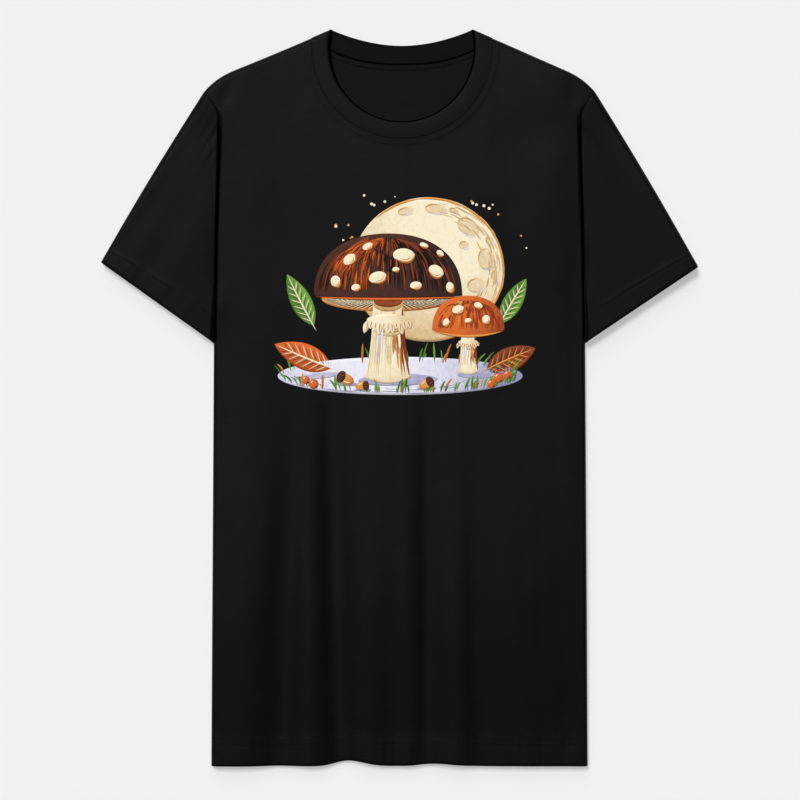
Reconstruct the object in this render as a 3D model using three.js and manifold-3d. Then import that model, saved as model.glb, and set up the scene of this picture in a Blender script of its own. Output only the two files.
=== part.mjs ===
// A short-sleeved crew-neck T-shirt of black cotton jersey, lying on its back with the front up.
//
// It is sewn from cut pieces, and each is a mesh of its own: front, back, two tube sleeves, a ribbed
// neckband and the tape inside the back neck. A woodland print of flat ink fields lies on the chest.
// Units are millimetres. X runs across the shirt, Y from the hem up to the neck, Z up from the surface
// that the back lies on, and the origin is under the middle of the shirt.

import * as THREE from "three";
import { mergeVertices } from "three/addons/utils/BufferGeometryUtils.js";
import Module from "manifold-3d";

// ---------------------------------------------------------------- driving dimensions

const HALF_LENGTH = 368.5; // neck point to hem is 737
const HALF_HEM = 187.5; // half the width at the hem
const HALF_CHEST = 184.5; // half the width at the armpit
const ARMPIT_Y = 120; // where the armhole ends and the side seam begins
const SLEEVE_TIP_X = 298; // outer corner of a sleeve hem
const SLEEVE_TIP_Y = { left: 135.5, right: 131 }; // the right sleeve hangs a little lower
const SLEEVE_INNER_Y = 55; // inner corner of a sleeve hem, beside the body
const SHOULDER_TIP_X = 195.8; // where shoulder, armhole and sleeve meet

const CLOTH = 1.2; // wall of the solid that stands for one layer of jersey
const HEM_EXTRA = 1.0; // the turned-up layer inside a hem
const HEM_DEPTH = 27; // height of the body hem
const SLEEVE_HEM_DEPTH = 21; // height of a sleeve hem
const SEAM_GAP = 0.5; // between body and sleeve along their seam
const NECK_GAP = 0.8; // between the neckband and the panels it is sewn to
const FOLD_GAP = 1.3; // between the front and the back along their fold
const FOLD_Z = 5.9; // height of the outermost line of the folds at the sides and of the sleeves
const SHOULDER_Z = 3.4; // the same along the shoulders beside the neck, where the back lies flatter
const ARMHOLE_Z = 9.0; // height of the front layer where a sleeve is sewn to it
const ROLL = 5; // how far from the outline the cloth begins to roll over
const EDGE_TOP = 10.6; // height of the front layer just inside its rolled edge
const DOME = 5; // how much higher the middle of the chest lies

const NECK_X = 2.3; // the neck sits a little off centre as the shirt lies
const NECK_CENTRE_Y = 350; // centre of the two ellipses of the front neckline
const BAND_INNER = { a: 72.5, b: 75 }; // half width and depth of the band's folded edge
const BAND_SEAM = { a: 90.5, b: 91.5 }; // the same of the seam that joins band and front
const BACK_EDGE = { dip: 16.5, power: 1.9 }; // the band's free edge across the back
const BACK_SEAM = { dip: 25.7, power: 2.5 }; // the band's seam across the back
const BAND_THICK = 2.0;
const BAND_BACK_Z = 1.15; // the band lies this high at the back, middle of its wall
const TAPE = { width: 7, thick: 0.8, reach: 0.86, clear: 0.4 };

const INK = { clear: 0.45, thick: 0.5 }; // an ink field over the cloth
const PRINT = { x: 2.5, y: 102, halfWidth: 140, halfHeight: 104 }; // where the print lies

const BLACK_JERSEY = { color: "#1b1b1c", roughness: 0.95, metalness: 0 };
const BLACK_RIB = { color: "#19191a", roughness: 0.95, metalness: 0 };

// Long soft folds that deepen towards the hem: x at the hem and at their upper end, height, half
// widths to the left and right, and the y where each starts and where it is full.
const HEM_FOLDS = [
  { hemX: -128, topX: -121, height: -4.0, left: 26, right: 15, start: 60, full: -280 },
  { hemX: -97, topX: -100, height: 2.0, left: 16, right: 14, start: 0, full: -300 },
  { hemX: -71, topX: -76, height: -6.0, left: 13, right: 8, start: 20, full: -330 },
  { hemX: -48, topX: -54, height: 2.6, left: 10, right: 18, start: -40, full: -330 },
  { hemX: -21, topX: -12, height: -1.5, left: 14, right: 10, start: -150, full: -330 },
  { hemX: 14, topX: 17, height: -4.0, left: 12, right: 7, start: 10, full: -300 },
  { hemX: 42, topX: 40, height: 2.2, left: 12, right: 14, start: -20, full: -300 },
  { hemX: 71, topX: 66, height: -4.2, left: 15, right: 7, start: -100, full: -330 },
  { hemX: 110, topX: 104, height: -1.4, left: 20, right: 12, start: 0, full: -200 },
];
// Shallow hollows and swells of the chest: centre, half widths and height.
const CHEST_SWELLS = [
  { x: -146, y: 215, rx: 16, ry: 90, height: -1.5 },
  { x: -116, y: 205, rx: 18, ry: 80, height: 0.8 },
  { x: 150, y: 215, rx: 18, ry: 80, height: -1.2 },
  { x: 128, y: 262, rx: 30, ry: 24, height: -0.9 },
];
// Where the hem's line rises and falls with the folds.
const HEM_RISES = [
  { x: -50, left: 17, right: 22, rise: 5.0 },
  { x: 37, left: 20, right: 28, rise: 2.2 },
];

// ---------------------------------------------------------------- small helpers

const lerp = (a, b, t) => a + (b - a) * t;
const clamp01 = (t) => Math.min(1, Math.max(0, t));
const smooth = (a, b, x) => {
  const t = clamp01((x - a) / (b - a));
  return t * t * (3 - 2 * t);
};
const bell = (d, left, right) => Math.exp(-((d / (d < 0 ? left : right)) ** 2));

// 0 on the outline, rising like a quarter circle to 1 a roll's width inside it.
const roll = (d) => Math.sqrt(1 - (1 - clamp01(d / ROLL)) ** 2);

// ---------------------------------------------------------------- the outline, seen from above

// The shoulder line: straight from the neck point, then turning down to the shoulder tip.
const SHOULDER = { x: 70, y: 368.1, slope: 0.43, bendX: 160, drop: 12.8, span: 39.5 };
function shoulderY(x) {
  const ax = Math.abs(x - NECK_X * (1 - smooth(95, 190, Math.abs(x))));
  const bent = Math.max(0, (ax - SHOULDER.bendX) / SHOULDER.span);
  return SHOULDER.y - SHOULDER.slope * (ax - SHOULDER.x) - SHOULDER.drop * bent ** 3;
}
const SHOULDER_COS = Math.cos(Math.atan(SHOULDER.slope));
const SHOULDER_TIP_Y = shoulderY(SHOULDER_TIP_X);

// The seam between body and sleeve is drawn through the same heights on both its pieces, so that the
// two never cross: shares of its length down from the shoulder tip.
const ARMHOLE_SHARES = [0, 0.004, 0.016, 0.034, 0.06, 0.09, 0.135, 0.22, 0.36, 0.54, 0.74, 0.9, 0.967, 0.991, 1];
const armholeY = (share) => lerp(SHOULDER_TIP_Y, ARMPIT_Y, share);

// Half the body's width at y: the side seam below the armpit and the armhole above it.
function bodyHalfWidth(y) {
  if (y <= ARMPIT_Y) {
    return lerp(HALF_HEM, HALF_CHEST, clamp01((y + HALF_LENGTH) / (ARMPIT_Y + HALF_LENGTH)));
  }
  const narrow = HALF_CHEST - 4.5 * smooth(ARMPIT_Y, 290, y);
  const cap = clamp01((y - 280) / (SHOULDER_TIP_Y - 280)) ** 1.7;
  return lerp(narrow, SHOULDER_TIP_X, cap);
}

// Panels and sleeves stop short of the armhole seam, by half a wall and half a gap square to it.
const seamInset = (y) =>
  ((CLOTH + SEAM_GAP) / 2) * Math.hypot(1, bodyHalfWidth(y) - bodyHalfWidth(y - 1));
const panelHalfWidth = (y) => bodyHalfWidth(y) - seamInset(y) * smooth(ARMPIT_Y - 20, ARMPIT_Y, y);

const hemY = (x) =>
  -HALF_LENGTH + HEM_RISES.reduce((sum, r) => sum + r.rise * bell(x - r.x, r.left, r.right), 0);

// A point of a front neck ellipse at angle a, 0 at its lowest point.
const neckEllipse = (e, a) => ({
  x: NECK_X + e.a * Math.sin(a),
  y: NECK_CENTRE_Y - e.b * Math.cos(a),
});

// The angle at which that ellipse meets the shoulder fold.
function neckEllipseEnd(e) {
  let low = Math.PI / 2;
  let high = Math.PI;
  for (let i = 0; i < 40; i++) {
    const mid = (low + high) / 2;
    const p = neckEllipse(e, mid);
    if (p.y < shoulderY(p.x)) low = mid;
    else high = mid;
  }
  return low;
}
const INNER_END = neckEllipseEnd(BAND_INNER);
const SEAM_END = neckEllipseEnd(BAND_SEAM);

// A point of a back neck curve at share t from -1 to 1, ending on the shoulder fold where e does.
function backNeck(curve, e, end, t) {
  const tip = neckEllipse(e, end);
  return {
    x: NECK_X + (tip.x - NECK_X) * t,
    y: tip.y - curve.dip * (1 - Math.abs(t) ** curve.power),
  };
}

// ---------------------------------------------------------------- heights of the layers

const sideDistance = (x, y) => panelHalfWidth(y) - Math.abs(x);
const shoulderDistance = (x, y) => (shoulderY(x) - y) * SHOULDER_COS;

// Middle of the front layer, before it rolls over at the outline.
function frontHeight(x, y) {
  const across = 1 - clamp01(Math.abs(x) / HALF_HEM) ** 2;
  const along = lerp(0.15, 1, smooth(365, 190, y));
  let z = EDGE_TOP + DOME * across * along;
  for (const f of HEM_FOLDS) {
    const centre = lerp(f.hemX, f.topX, clamp01((y + HALF_LENGTH) / (f.start + HALF_LENGTH)));
    z += f.height * bell(x - centre, f.left, f.right) * smooth(f.start, f.full, y);
  }
  for (const s of CHEST_SWELLS) z += s.height * bell(x - s.x, s.rx, s.rx) * bell(y - s.y, s.ry, s.ry);
  return z;
}

// Height of the shoulder fold, which rises to the sleeve's outer fold at the shoulder tip.
const shoulderZ = (x) => lerp(SHOULDER_Z, FOLD_Z, smooth(130, SHOULDER_TIP_X, Math.abs(x)));

// Height of the front layer's edge: the fold's below the armpit, and the armhole seam's above it.
const frontEdge = (y) => lerp(FOLD_Z + FOLD_GAP / 2, ARMHOLE_Z, smooth(ARMPIT_Y, ARMPIT_Y + 30, y));

function frontMid(x, y) {
  const inside = lerp(frontEdge(y), frontHeight(x, y), roll(sideDistance(x, y)));
  return lerp(shoulderZ(x) + FOLD_GAP / 2, inside, roll(shoulderDistance(x, y)));
}

// The back layer lies flat, and rolls up to the fold along the sides and the shoulders only.
function backMid(x, y) {
  const sideRoll = lerp(1, roll(sideDistance(x, y)), smooth(150, 105, y));
  const inside = lerp(FOLD_Z - FOLD_GAP / 2, CLOTH / 2, sideRoll);
  return lerp(shoulderZ(x) - FOLD_GAP / 2, inside, roll(shoulderDistance(x, y)));
}

// ---------------------------------------------------------------- cloth walls as closed meshes

// The upward normal of a height over the plan.
function slopeNormal(height, p) {
  const step = 0.05;
  const dx = (height(p.x + step, p.y) - height(p.x - step, p.y)) / (2 * step);
  const dy = (height(p.x, p.y + step) - height(p.x, p.y - step)) / (2 * step);
  return new THREE.Vector3(-dx, -dy, 1).normalize();
}

// Turns a grid of mid-surface points, [column][row], into a closed wall. `wall(i, j)` gives how far the
// wall reaches on the side of the normal (along columns x along rows) and on the other side. A sheet that
// lies flat enough to be a height over the plan passes that height, for truer normals at its corners.
function clothGeometry(points, wall, { closed = false, height = null } = {}) {
  const columns = points.length;
  const rows = points[0].length;
  const at = (i, j) =>
    points[closed ? (i + columns) % columns : Math.min(columns - 1, Math.max(0, i))][
      Math.min(rows - 1, Math.max(0, j))
    ];
  const normal = (i, j) => {
    if (height) return slopeNormal(height, at(i, j));
    const du = new THREE.Vector3().subVectors(at(i + 1, j), at(i - 1, j));
    const dv = new THREE.Vector3().subVectors(at(i, j + 1), at(i, j - 1));
    return du.cross(dv).normalize();
  };
  const positions = [];
  for (const side of [0, 1]) {
    for (let i = 0; i < columns; i++) {
      for (let j = 0; j < rows; j++) {
        const reach = wall(i, j)[side];
        const p = at(i, j).clone().addScaledVector(normal(i, j), side ? -reach : reach);
        positions.push(p.x, p.y, p.z);
      }
    }
  }
  const id = (side, i, j) => side * columns * rows + (i % columns) * rows + j;
  const faces = [];
  const quad = (a, b, c, d) => faces.push(a, b, c, a, c, d);
  const spans = closed ? columns : columns - 1;
  for (let i = 0; i < spans; i++) {
    for (let j = 0; j < rows - 1; j++) {
      quad(id(0, i, j), id(0, i + 1, j), id(0, i + 1, j + 1), id(0, i, j + 1));
      quad(id(1, i, j), id(1, i, j + 1), id(1, i + 1, j + 1), id(1, i + 1, j));
    }
    quad(id(0, i, 0), id(1, i, 0), id(1, i + 1, 0), id(0, i + 1, 0));
    quad(id(0, i, rows - 1), id(0, i + 1, rows - 1), id(1, i + 1, rows - 1), id(1, i, rows - 1));
  }
  if (!closed) {
    const last = columns - 1;
    for (let j = 0; j < rows - 1; j++) {
      quad(id(0, 0, j), id(0, 0, j + 1), id(1, 0, j + 1), id(1, 0, j));
      quad(id(0, last, j), id(1, last, j), id(1, last, j + 1), id(0, last, j + 1));
    }
  }
  const geometry = new THREE.BufferGeometry();
  geometry.setAttribute("position", new THREE.Float32BufferAttribute(positions, 3));
  geometry.setIndex(faces);
  return geometry;
}

// Shares from 0 to 1: even steps, with quarter-circle steps over a stretch at the chosen ends.
const ROLL_STEPS = 3;
function rolledShares(steps, stretch, atStart, atEnd) {
  const near = Array.from(
    { length: ROLL_STEPS },
    (_, k) => stretch * (1 - Math.cos(((k / ROLL_STEPS) * Math.PI) / 2)),
  );
  const from = atStart ? stretch : 0;
  const to = atEnd ? 1 - stretch : 1;
  const even = Array.from({ length: steps + 1 }, (_, i) => lerp(from, to, i / steps));
  return [...(atStart ? near : []), ...even, ...(atEnd ? near.map((s) => 1 - s).reverse() : [])];
}

// Coons patch: the point at (s, t) between four edge curves that share their corners. The shape of the
// left and right edges reaches inwards by the shares `fromLeft` and `fromRight`.
function coons(bottom, top, left, right, s, t, fromLeft = 1 - s, fromRight = s) {
  const ruled = (axis, at) => lerp(bottom(at)[axis], top(at)[axis], t);
  const mix = (axis) =>
    ruled(axis, s) +
    fromLeft * (left(t)[axis] - ruled(axis, 0)) +
    fromRight * (right(t)[axis] - ruled(axis, 1));
  return { x: mix("x"), y: mix("y") };
}

// ---------------------------------------------------------------- front and back

const NECK_SHARE = 0.63; // how much of a panel's columns end on the neck seam
const SIDE_REACH = 8; // the higher, the closer the armhole's shape stays to the armhole

// Shares from -1 to 1 along a neckline, closer together where it turns over the shoulder fold.
const neckShares = (steps) => rolledShares(steps, 0.024, true, true).map((s) => 2 * s - 1);
const FRONT_NECK = neckShares(22);
const BACK_NECK = neckShares(12);

// Shares from -1 to 1 across a panel: the neckline's own columns, and `outer` more beside them.
function panelColumns(neck, outer) {
  const beside = rolledShares(outer, ROLL / (HALF_HEM * (1 - NECK_SHARE)), false, true);
  const right = beside.slice(1).map((s) => lerp(NECK_SHARE, 1, s));
  return [...right.map((s) => -s).reverse(), ...neck.map((t) => t * NECK_SHARE), ...right];
}

// Plan of a body panel at (s, t), whose top edge runs along the shoulders and the given neck curve.
function bodyPlan(neck) {
  const bottomY = hemY(HALF_HEM);
  const bottom = (s) => {
    const x = lerp(-HALF_HEM, HALF_HEM, s);
    return { x, y: hemY(x) };
  };
  const side = (sign) => (t) => {
    const y = lerp(bottomY, SHOULDER_TIP_Y, t);
    return { x: sign * panelHalfWidth(y), y };
  };
  const top = (s) => {
    const across = 2 * s - 1;
    const sign = Math.sign(across);
    if (Math.abs(across) <= NECK_SHARE) return neck(across / NECK_SHARE);
    const start = neck(sign);
    const t = (Math.abs(across) - NECK_SHARE) / (1 - NECK_SHARE);
    const x = lerp(start.x, sign * panelHalfWidth(SHOULDER_TIP_Y), t);
    // The neck seam's own offset fades into the shoulder line.
    const meeting = start.y - shoulderY(start.x);
    const tip = SHOULDER_TIP_Y - shoulderY(panelHalfWidth(SHOULDER_TIP_Y));
    return { x, y: shoulderY(x) + meeting * (1 - t) + tip * t };
  };
  const reach = (across) => Math.max(0, across) ** SIDE_REACH;
  return (s, t) => coons(bottom, top, side(-1), side(1), s, t, reach(1 - 2 * s), reach(2 * s - 1));
}

// One body panel: heights along its sides are the hem's, the `rows` below the armpit and the armhole's.
function bodyPanel(neck, height, columns, rows, hemSide) {
  const plan = bodyPlan(neck);
  const length = SHOULDER_TIP_Y + HALF_LENGTH;
  const below = Array.from({ length: rows }, (_, k) => lerp(HEM_DEPTH + 2, HALF_LENGTH + ARMPIT_Y, k / rows));
  const above = ARMHOLE_SHARES.filter((share) => share < 0.95 || share === 1).map(
    (share) => armholeY(share) + HALF_LENGTH,
  );
  const levels = [0, HEM_DEPTH, ...below, ...above.reverse()].map((y) => y / length);
  const points = columns.map((across) =>
    levels.map((t) => {
      const p = plan((across + 1) / 2, t);
      return new THREE.Vector3(p.x, p.y, height(p.x, p.y));
    }),
  );
  const wall = (i, j) => {
    const extra = j < 2 ? HEM_EXTRA : 0;
    return [CLOTH / 2 + (hemSide === 0 ? extra : 0), CLOTH / 2 + (hemSide === 1 ? extra : 0)];
  };
  return clothGeometry(points, wall, { height });
}

const frontSeam = (t) =>
  neckEllipse({ a: BAND_SEAM.a + NECK_GAP, b: BAND_SEAM.b + NECK_GAP }, t * SEAM_END);
const backSeam = (t) => {
  const p = backNeck(BACK_SEAM, BAND_SEAM, SEAM_END, t);
  return { x: p.x + t * NECK_GAP, y: p.y - NECK_GAP };
};
const frontPanel = () => bodyPanel(frontSeam, frontMid, panelColumns(FRONT_NECK, 6), 10, 1);
const backPanel = () => bodyPanel(backSeam, backMid, panelColumns(BACK_NECK, 3), 4, 0);

// ---------------------------------------------------------------- sleeves

const SLEEVE_SWELL = 2.5; // how much higher the middle of a sleeve lies than its edges
const SLEEVE_LENGTH = 192; // along its outer fold
const SLEEVE_WIDTH = 150; // about halfway down, for the roll at its two folds

// Plan of a sleeve at (s, t): s from its outer fold to the underarm, t from the armhole to the hem.
function sleevePlan(tipY) {
  const outer = (t) => ({
    x: lerp(SHOULDER_TIP_X + seamInset(SHOULDER_TIP_Y), SLEEVE_TIP_X, t),
    y: lerp(SHOULDER_TIP_Y, tipY, t),
  });
  const underarm = (t) => {
    const y = lerp(ARMPIT_Y, SLEEVE_INNER_Y, t);
    return { x: bodyHalfWidth(y) + CLOTH + SEAM_GAP, y };
  };
  const armhole = (s) => {
    const y = armholeY(s);
    return { x: bodyHalfWidth(y) + lerp(seamInset(y), CLOTH + SEAM_GAP, s ** 4), y };
  };
  const hem = (s) => ({
    x: lerp(outer(1).x, underarm(1).x, s),
    y: lerp(outer(1).y, underarm(1).y, s),
  });
  return (s, t) => coons(armhole, hem, outer, underarm, s, t);
}

function sleeve(side) {
  const plan = sleevePlan(SLEEVE_TIP_Y[side]);
  const sign = side === "left" ? -1 : 1;
  const hemStart = 1 - SLEEVE_HEM_DEPTH / SLEEVE_LENGTH;
  const along = rolledShares(6, ROLL / SLEEVE_LENGTH, true, false).filter((t) => t < hemStart - 0.05);
  const levels = [...along, hemStart - 0.01, hemStart, 1];
  const shares = ARMHOLE_SHARES;
  const loop = [
    ...shares.map((s) => ({ s, front: true })),
    ...shares.slice(1, -1).reverse().map((s) => ({ s, front: false })),
  ];
  const points = loop.map(({ s, front }) =>
    levels.map((t) => {
      const p = plan(s, t);
      const atFold = roll(Math.min(s, 1 - s) * SLEEVE_WIDTH);
      const swell = SLEEVE_SWELL * Math.sin(Math.PI * s) * smooth(0, 0.4, t);
      const top = lerp(frontEdge(armholeY(s)), EDGE_TOP - 0.5 + swell, roll(t * SLEEVE_LENGTH));
      const z = lerp(FOLD_Z, front ? top : CLOTH / 2, atFold);
      return new THREE.Vector3(sign * p.x, p.y, z);
    }),
  );
  // The loop turns one way on the right sleeve and the other on the left, so the wall's sides swap.
  const wall = (i, j) => {
    const inner = CLOTH / 2 + (j >= levels.length - 2 ? HEM_EXTRA : 0);
    return sign > 0 ? [CLOTH / 2, inner] : [inner, CLOTH / 2];
  };
  return clothGeometry(points, wall, { closed: true });
}

// ---------------------------------------------------------------- neckband and tape

// The band is one ring: over the front, round the left fold, across the back and round the right fold.
const BAND_WIDTHS = [0, 0.12, 0.5, 0.88, 1];
function bandPoint(front, t, w) {
  const inner = front
    ? neckEllipse(BAND_INNER, t * INNER_END)
    : backNeck(BACK_EDGE, BAND_INNER, INNER_END, t);
  const seam = front
    ? neckEllipse(BAND_SEAM, t * SEAM_END)
    : backNeck(BACK_SEAM, BAND_SEAM, SEAM_END, t);
  const x = lerp(inner.x, seam.x, w);
  const y = lerp(inner.y, seam.y, w);
  const flat = front ? frontHeight(x, y) - 0.8 * (1 - w) : BAND_BACK_Z;
  return new THREE.Vector3(x, y, lerp(SHOULDER_Z, flat, roll(shoulderDistance(x, y))));
}

function neckband() {
  const column = (front) => (t) => BAND_WIDTHS.map((w) => bandPoint(front, t, w));
  const ring = [...FRONT_NECK.map(column(true)), ...BACK_NECK.slice(1, -1).reverse().map(column(false))];
  const wall = (i, j) => {
    const half = (BAND_THICK / 2) * (j === 0 || j === BAND_WIDTHS.length - 1 ? 0.6 : 1);
    return [half, half];
  };
  return clothGeometry(ring, wall, { closed: true });
}

// A narrow strip that covers the seam inside the back neck.
function neckTape() {
  const z = CLOTH + TAPE.clear + TAPE.thick / 2;
  const points = BACK_NECK.filter((t) => Math.abs(t) < TAPE.reach).map((t) => {
    const p = backSeam(t);
    return [p.y - 1 - TAPE.width, p.y - 1].map((y) => new THREE.Vector3(p.x, y, z));
  });
  return clothGeometry(points, () => [TAPE.thick / 2, TAPE.thick / 2]);
}

// ---------------------------------------------------------------- the print

const wasm = await Module();
wasm.setup();

// A closed three.js geometry as a solid that can be cut.
function solidOf(geometry) {
  const bare = geometry.clone();
  bare.deleteAttribute("normal");
  bare.deleteAttribute("uv");
  const merged = mergeVertices(bare, 1e-4);
  return new wasm.Manifold(
    new wasm.Mesh({
      numProp: 3,
      vertProperties: merged.attributes.position.array,
      triVerts: new Uint32Array(merged.index.array),
    }),
  );
}

function geometryOf(solid) {
  const mesh = solid.getMesh();
  const geometry = new THREE.BufferGeometry();
  geometry.setAttribute("position", new THREE.BufferAttribute(new Float32Array(mesh.vertProperties), 3));
  geometry.setIndex(new THREE.BufferAttribute(new Uint32Array(mesh.triVerts), 1));
  return geometry;
}

// The film of ink over the whole print, which each field is cut from.
function inkFilm() {
  const z = (x, y) => frontMid(x, y) + CLOTH / 2 + INK.clear + INK.thick / 2;
  const points = Array.from({ length: 11 }, (_, i) =>
    Array.from({ length: 8 }, (_, j) => {
      const x = PRINT.x + lerp(-PRINT.halfWidth, PRINT.halfWidth, i / 10);
      const y = PRINT.y + lerp(-PRINT.halfHeight, PRINT.halfHeight, j / 7);
      return new THREE.Vector3(x, y, z(x, y));
    }),
  );
  return solidOf(clothGeometry(points, () => [INK.thick / 2, INK.thick / 2]));
}

const ellipse = (x, y, rx, ry, turn = 0) => new THREE.Shape().absellipse(x, y, rx, ry, 0, 2 * Math.PI, false, turn);

// A mushroom cap: a dome over a shallow curved rim.
function capShape(x, y, halfWidth, height, rim) {
  const s = new THREE.Shape();
  s.moveTo(x - halfWidth, y);
  s.bezierCurveTo(x - halfWidth, y + height * 0.75, x - halfWidth * 0.5, y + height, x, y + height);
  s.bezierCurveTo(x + halfWidth * 0.5, y + height, x + halfWidth, y + height * 0.75, x + halfWidth, y);
  s.quadraticCurveTo(x, y - rim * 2, x - halfWidth, y);
  return s;
}

// A stem that widens to its foot.
function stemShape(x, y, neck, foot, length) {
  const s = new THREE.Shape();
  s.moveTo(x - neck, y);
  s.quadraticCurveTo(x - neck, y - length * 0.6, x - foot, y - length);
  s.quadraticCurveTo(x, y - length - foot * 0.5, x + foot, y - length);
  s.quadraticCurveTo(x + neck, y - length * 0.6, x + neck, y);
  s.lineTo(x - neck, y);
  return s;
}

// A pointed leaf from its foot at (x, y), of the given length and half width, turned by an angle.
function leafShape(x, y, length, halfWidth, turn) {
  const place = (along, out) => [
    x + along * Math.cos(turn) - out * Math.sin(turn),
    y + along * Math.sin(turn) + out * Math.cos(turn),
  ];
  const s = new THREE.Shape();
  s.moveTo(...place(0, 0));
  s.bezierCurveTo(...place(length * 0.25, halfWidth * 1.3), ...place(length * 0.7, halfWidth), ...place(length, 0));
  s.bezierCurveTo(...place(length * 0.7, -halfWidth), ...place(length * 0.25, -halfWidth * 1.3), ...place(0, 0));
  return s;
}

// The fields from the back of the picture to the front, in millimetres from the print's centre.
const CREAM = "#efe2bd";
const DARK_BROWN = "#3d1a0c";
const RUSSET = "#8f3d14";
const AMBER = "#d98a3a";
const ORANGE = "#cf5f1f";
const GREEN = "#5f9130";
const PALE_GROUND = "#dcdbe8";
const FIELDS = [
  { name: "print_moon", color: CREAM, shape: ellipse(26, 26, 76, 72) },
  { name: "print_ground", color: PALE_GROUND, shape: ellipse(-2, -80, 122, 19) },
  { name: "print_leaf_left", color: ORANGE, shape: leafShape(-70, -72, 62, 15, 2.75) },
  { name: "print_leaf_right", color: RUSSET, shape: leafShape(84, -74, 54, 14, 0.42) },
  { name: "print_leaf_top_left", color: GREEN, shape: leafShape(-88, -30, 58, 12, 2.05) },
  { name: "print_leaf_top_right", color: GREEN, shape: leafShape(98, -28, 52, 11, 1.05) },
  { name: "print_small_stem", color: CREAM, shape: stemShape(66, -30, 7, 10, 46) },
  { name: "print_small_cap", color: ORANGE, shape: capShape(66, -34, 36, 34, 7) },
  { name: "print_stem", color: CREAM, shape: stemShape(-14, -6, 15, 23, 76) },
  { name: "print_gills", color: AMBER, shape: ellipse(-14, -3, 66, 13) },
  { name: "print_cap", color: DARK_BROWN, shape: capShape(-14, 0, 74, 62, 4) },
  { name: "print_cap_glow", color: RUSSET, shape: leafShape(-72, 14, 60, 10, 0.85) },
  { name: "print_spot_1", color: CREAM, shape: ellipse(2, 40, 11, 7, -0.1) },
  { name: "print_spot_2", color: CREAM, shape: ellipse(34, 24, 8, 6, -0.6) },
  { name: "print_spot_3", color: CREAM, shape: ellipse(-24, 18, 9, 6, 0.2) },
  { name: "print_spot_4", color: CREAM, shape: ellipse(14, 10, 6, 4, 0) },
];
const FIELD_GAP = 0.9; // cloth left bare between two fields

// A prism over a shape, placed on the shirt, and grown all round by `grow`.
function prism(shape, grow) {
  const body = new THREE.ExtrudeGeometry(shape, { depth: 60, bevelEnabled: false, curveSegments: 7 });
  body.computeBoundingBox();
  const size = body.boundingBox.getSize(new THREE.Vector3());
  const centre = body.boundingBox.getCenter(new THREE.Vector3());
  body.translate(-centre.x, -centre.y, -20);
  body.scale(1 + (2 * grow) / size.x, 1 + (2 * grow) / size.y, 1);
  body.translate(centre.x + PRINT.x, centre.y + PRINT.y, 0);
  return solidOf(body);
}

function printFields() {
  const film = inkFilm();
  return FIELDS.map((field, i) => {
    let solid = film.intersect(prism(field.shape, 0));
    for (const above of FIELDS.slice(i + 1)) solid = solid.subtract(prism(above.shape, FIELD_GAP));
    // What the fields in front cut off from the largest patch is left bare.
    const patches = solid.decompose().sort((a, b) => b.volume() - a.volume());
    return { name: field.name, geometry: geometryOf(patches[0]), color: field.color };
  });
}

// ---------------------------------------------------------------- assembly

function piece(name, geometry, finish) {
  const mesh = new THREE.Mesh(geometry, new THREE.MeshStandardMaterial(finish));
  mesh.name = name;
  return mesh;
}

const shirt = new THREE.Group();
shirt.add(
  piece("front_panel", frontPanel(), BLACK_JERSEY),
  piece("back_panel", backPanel(), BLACK_JERSEY),
  piece("sleeve_left", sleeve("left"), BLACK_JERSEY),
  piece("sleeve_right", sleeve("right"), BLACK_JERSEY),
  piece("neckband", neckband(), BLACK_RIB),
  piece("neck_tape", neckTape(), BLACK_RIB),
);
const print = new THREE.Group();
for (const f of printFields()) print.add(piece(f.name, f.geometry, { color: f.color, roughness: 0.6, metalness: 0 }));
shirt.add(print);

export default shirt;
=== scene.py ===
"""A short-sleeved crew-neck T-shirt of black cotton jersey, lying on its back, dressed for rendering.

The shirt is sewn up from cloth sheets: front, back, two tube sleeves, a neckband folded from a strip
of rib, and a neck tape. Their hems are turned inside and held by twin rows of stitches. A woodland
print of ink fields and brush strokes lies on the chest.

The classes hold their sizes in millimetres, with X across the shirt, Y from the hem up to the neck
and Z up from the surface that the back lies on. Meshes are in metres.
"""

import logging
import math
import random
from collections.abc import Callable, Sequence
from dataclasses import dataclass, field
from enum import Enum
from functools import cache, cached_property

import bmesh
import bpy
from mathutils import Matrix, Vector, noise


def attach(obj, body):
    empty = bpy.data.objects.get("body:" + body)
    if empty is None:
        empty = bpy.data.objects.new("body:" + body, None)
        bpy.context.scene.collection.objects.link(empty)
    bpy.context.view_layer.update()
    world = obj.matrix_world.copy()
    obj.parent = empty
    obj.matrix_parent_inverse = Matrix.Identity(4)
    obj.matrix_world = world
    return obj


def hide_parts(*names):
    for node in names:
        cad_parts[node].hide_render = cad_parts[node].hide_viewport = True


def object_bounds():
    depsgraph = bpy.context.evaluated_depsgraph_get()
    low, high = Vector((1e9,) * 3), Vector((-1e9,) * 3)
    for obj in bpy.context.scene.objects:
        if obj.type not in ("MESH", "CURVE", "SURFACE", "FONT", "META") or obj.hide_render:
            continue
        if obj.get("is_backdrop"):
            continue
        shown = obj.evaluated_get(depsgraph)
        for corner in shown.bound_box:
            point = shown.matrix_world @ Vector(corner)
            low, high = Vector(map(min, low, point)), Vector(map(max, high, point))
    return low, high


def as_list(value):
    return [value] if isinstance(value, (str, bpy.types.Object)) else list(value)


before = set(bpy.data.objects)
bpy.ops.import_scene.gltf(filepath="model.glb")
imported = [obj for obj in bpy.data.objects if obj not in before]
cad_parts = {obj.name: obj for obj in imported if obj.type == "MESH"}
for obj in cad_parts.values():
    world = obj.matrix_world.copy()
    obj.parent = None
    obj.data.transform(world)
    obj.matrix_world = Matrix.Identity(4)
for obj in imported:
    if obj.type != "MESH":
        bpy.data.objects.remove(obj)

LOG = logging.getLogger("shirt")
MM = 0.001
CAD_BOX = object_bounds()


# ---------------------------------------------------------------- numbers


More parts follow.
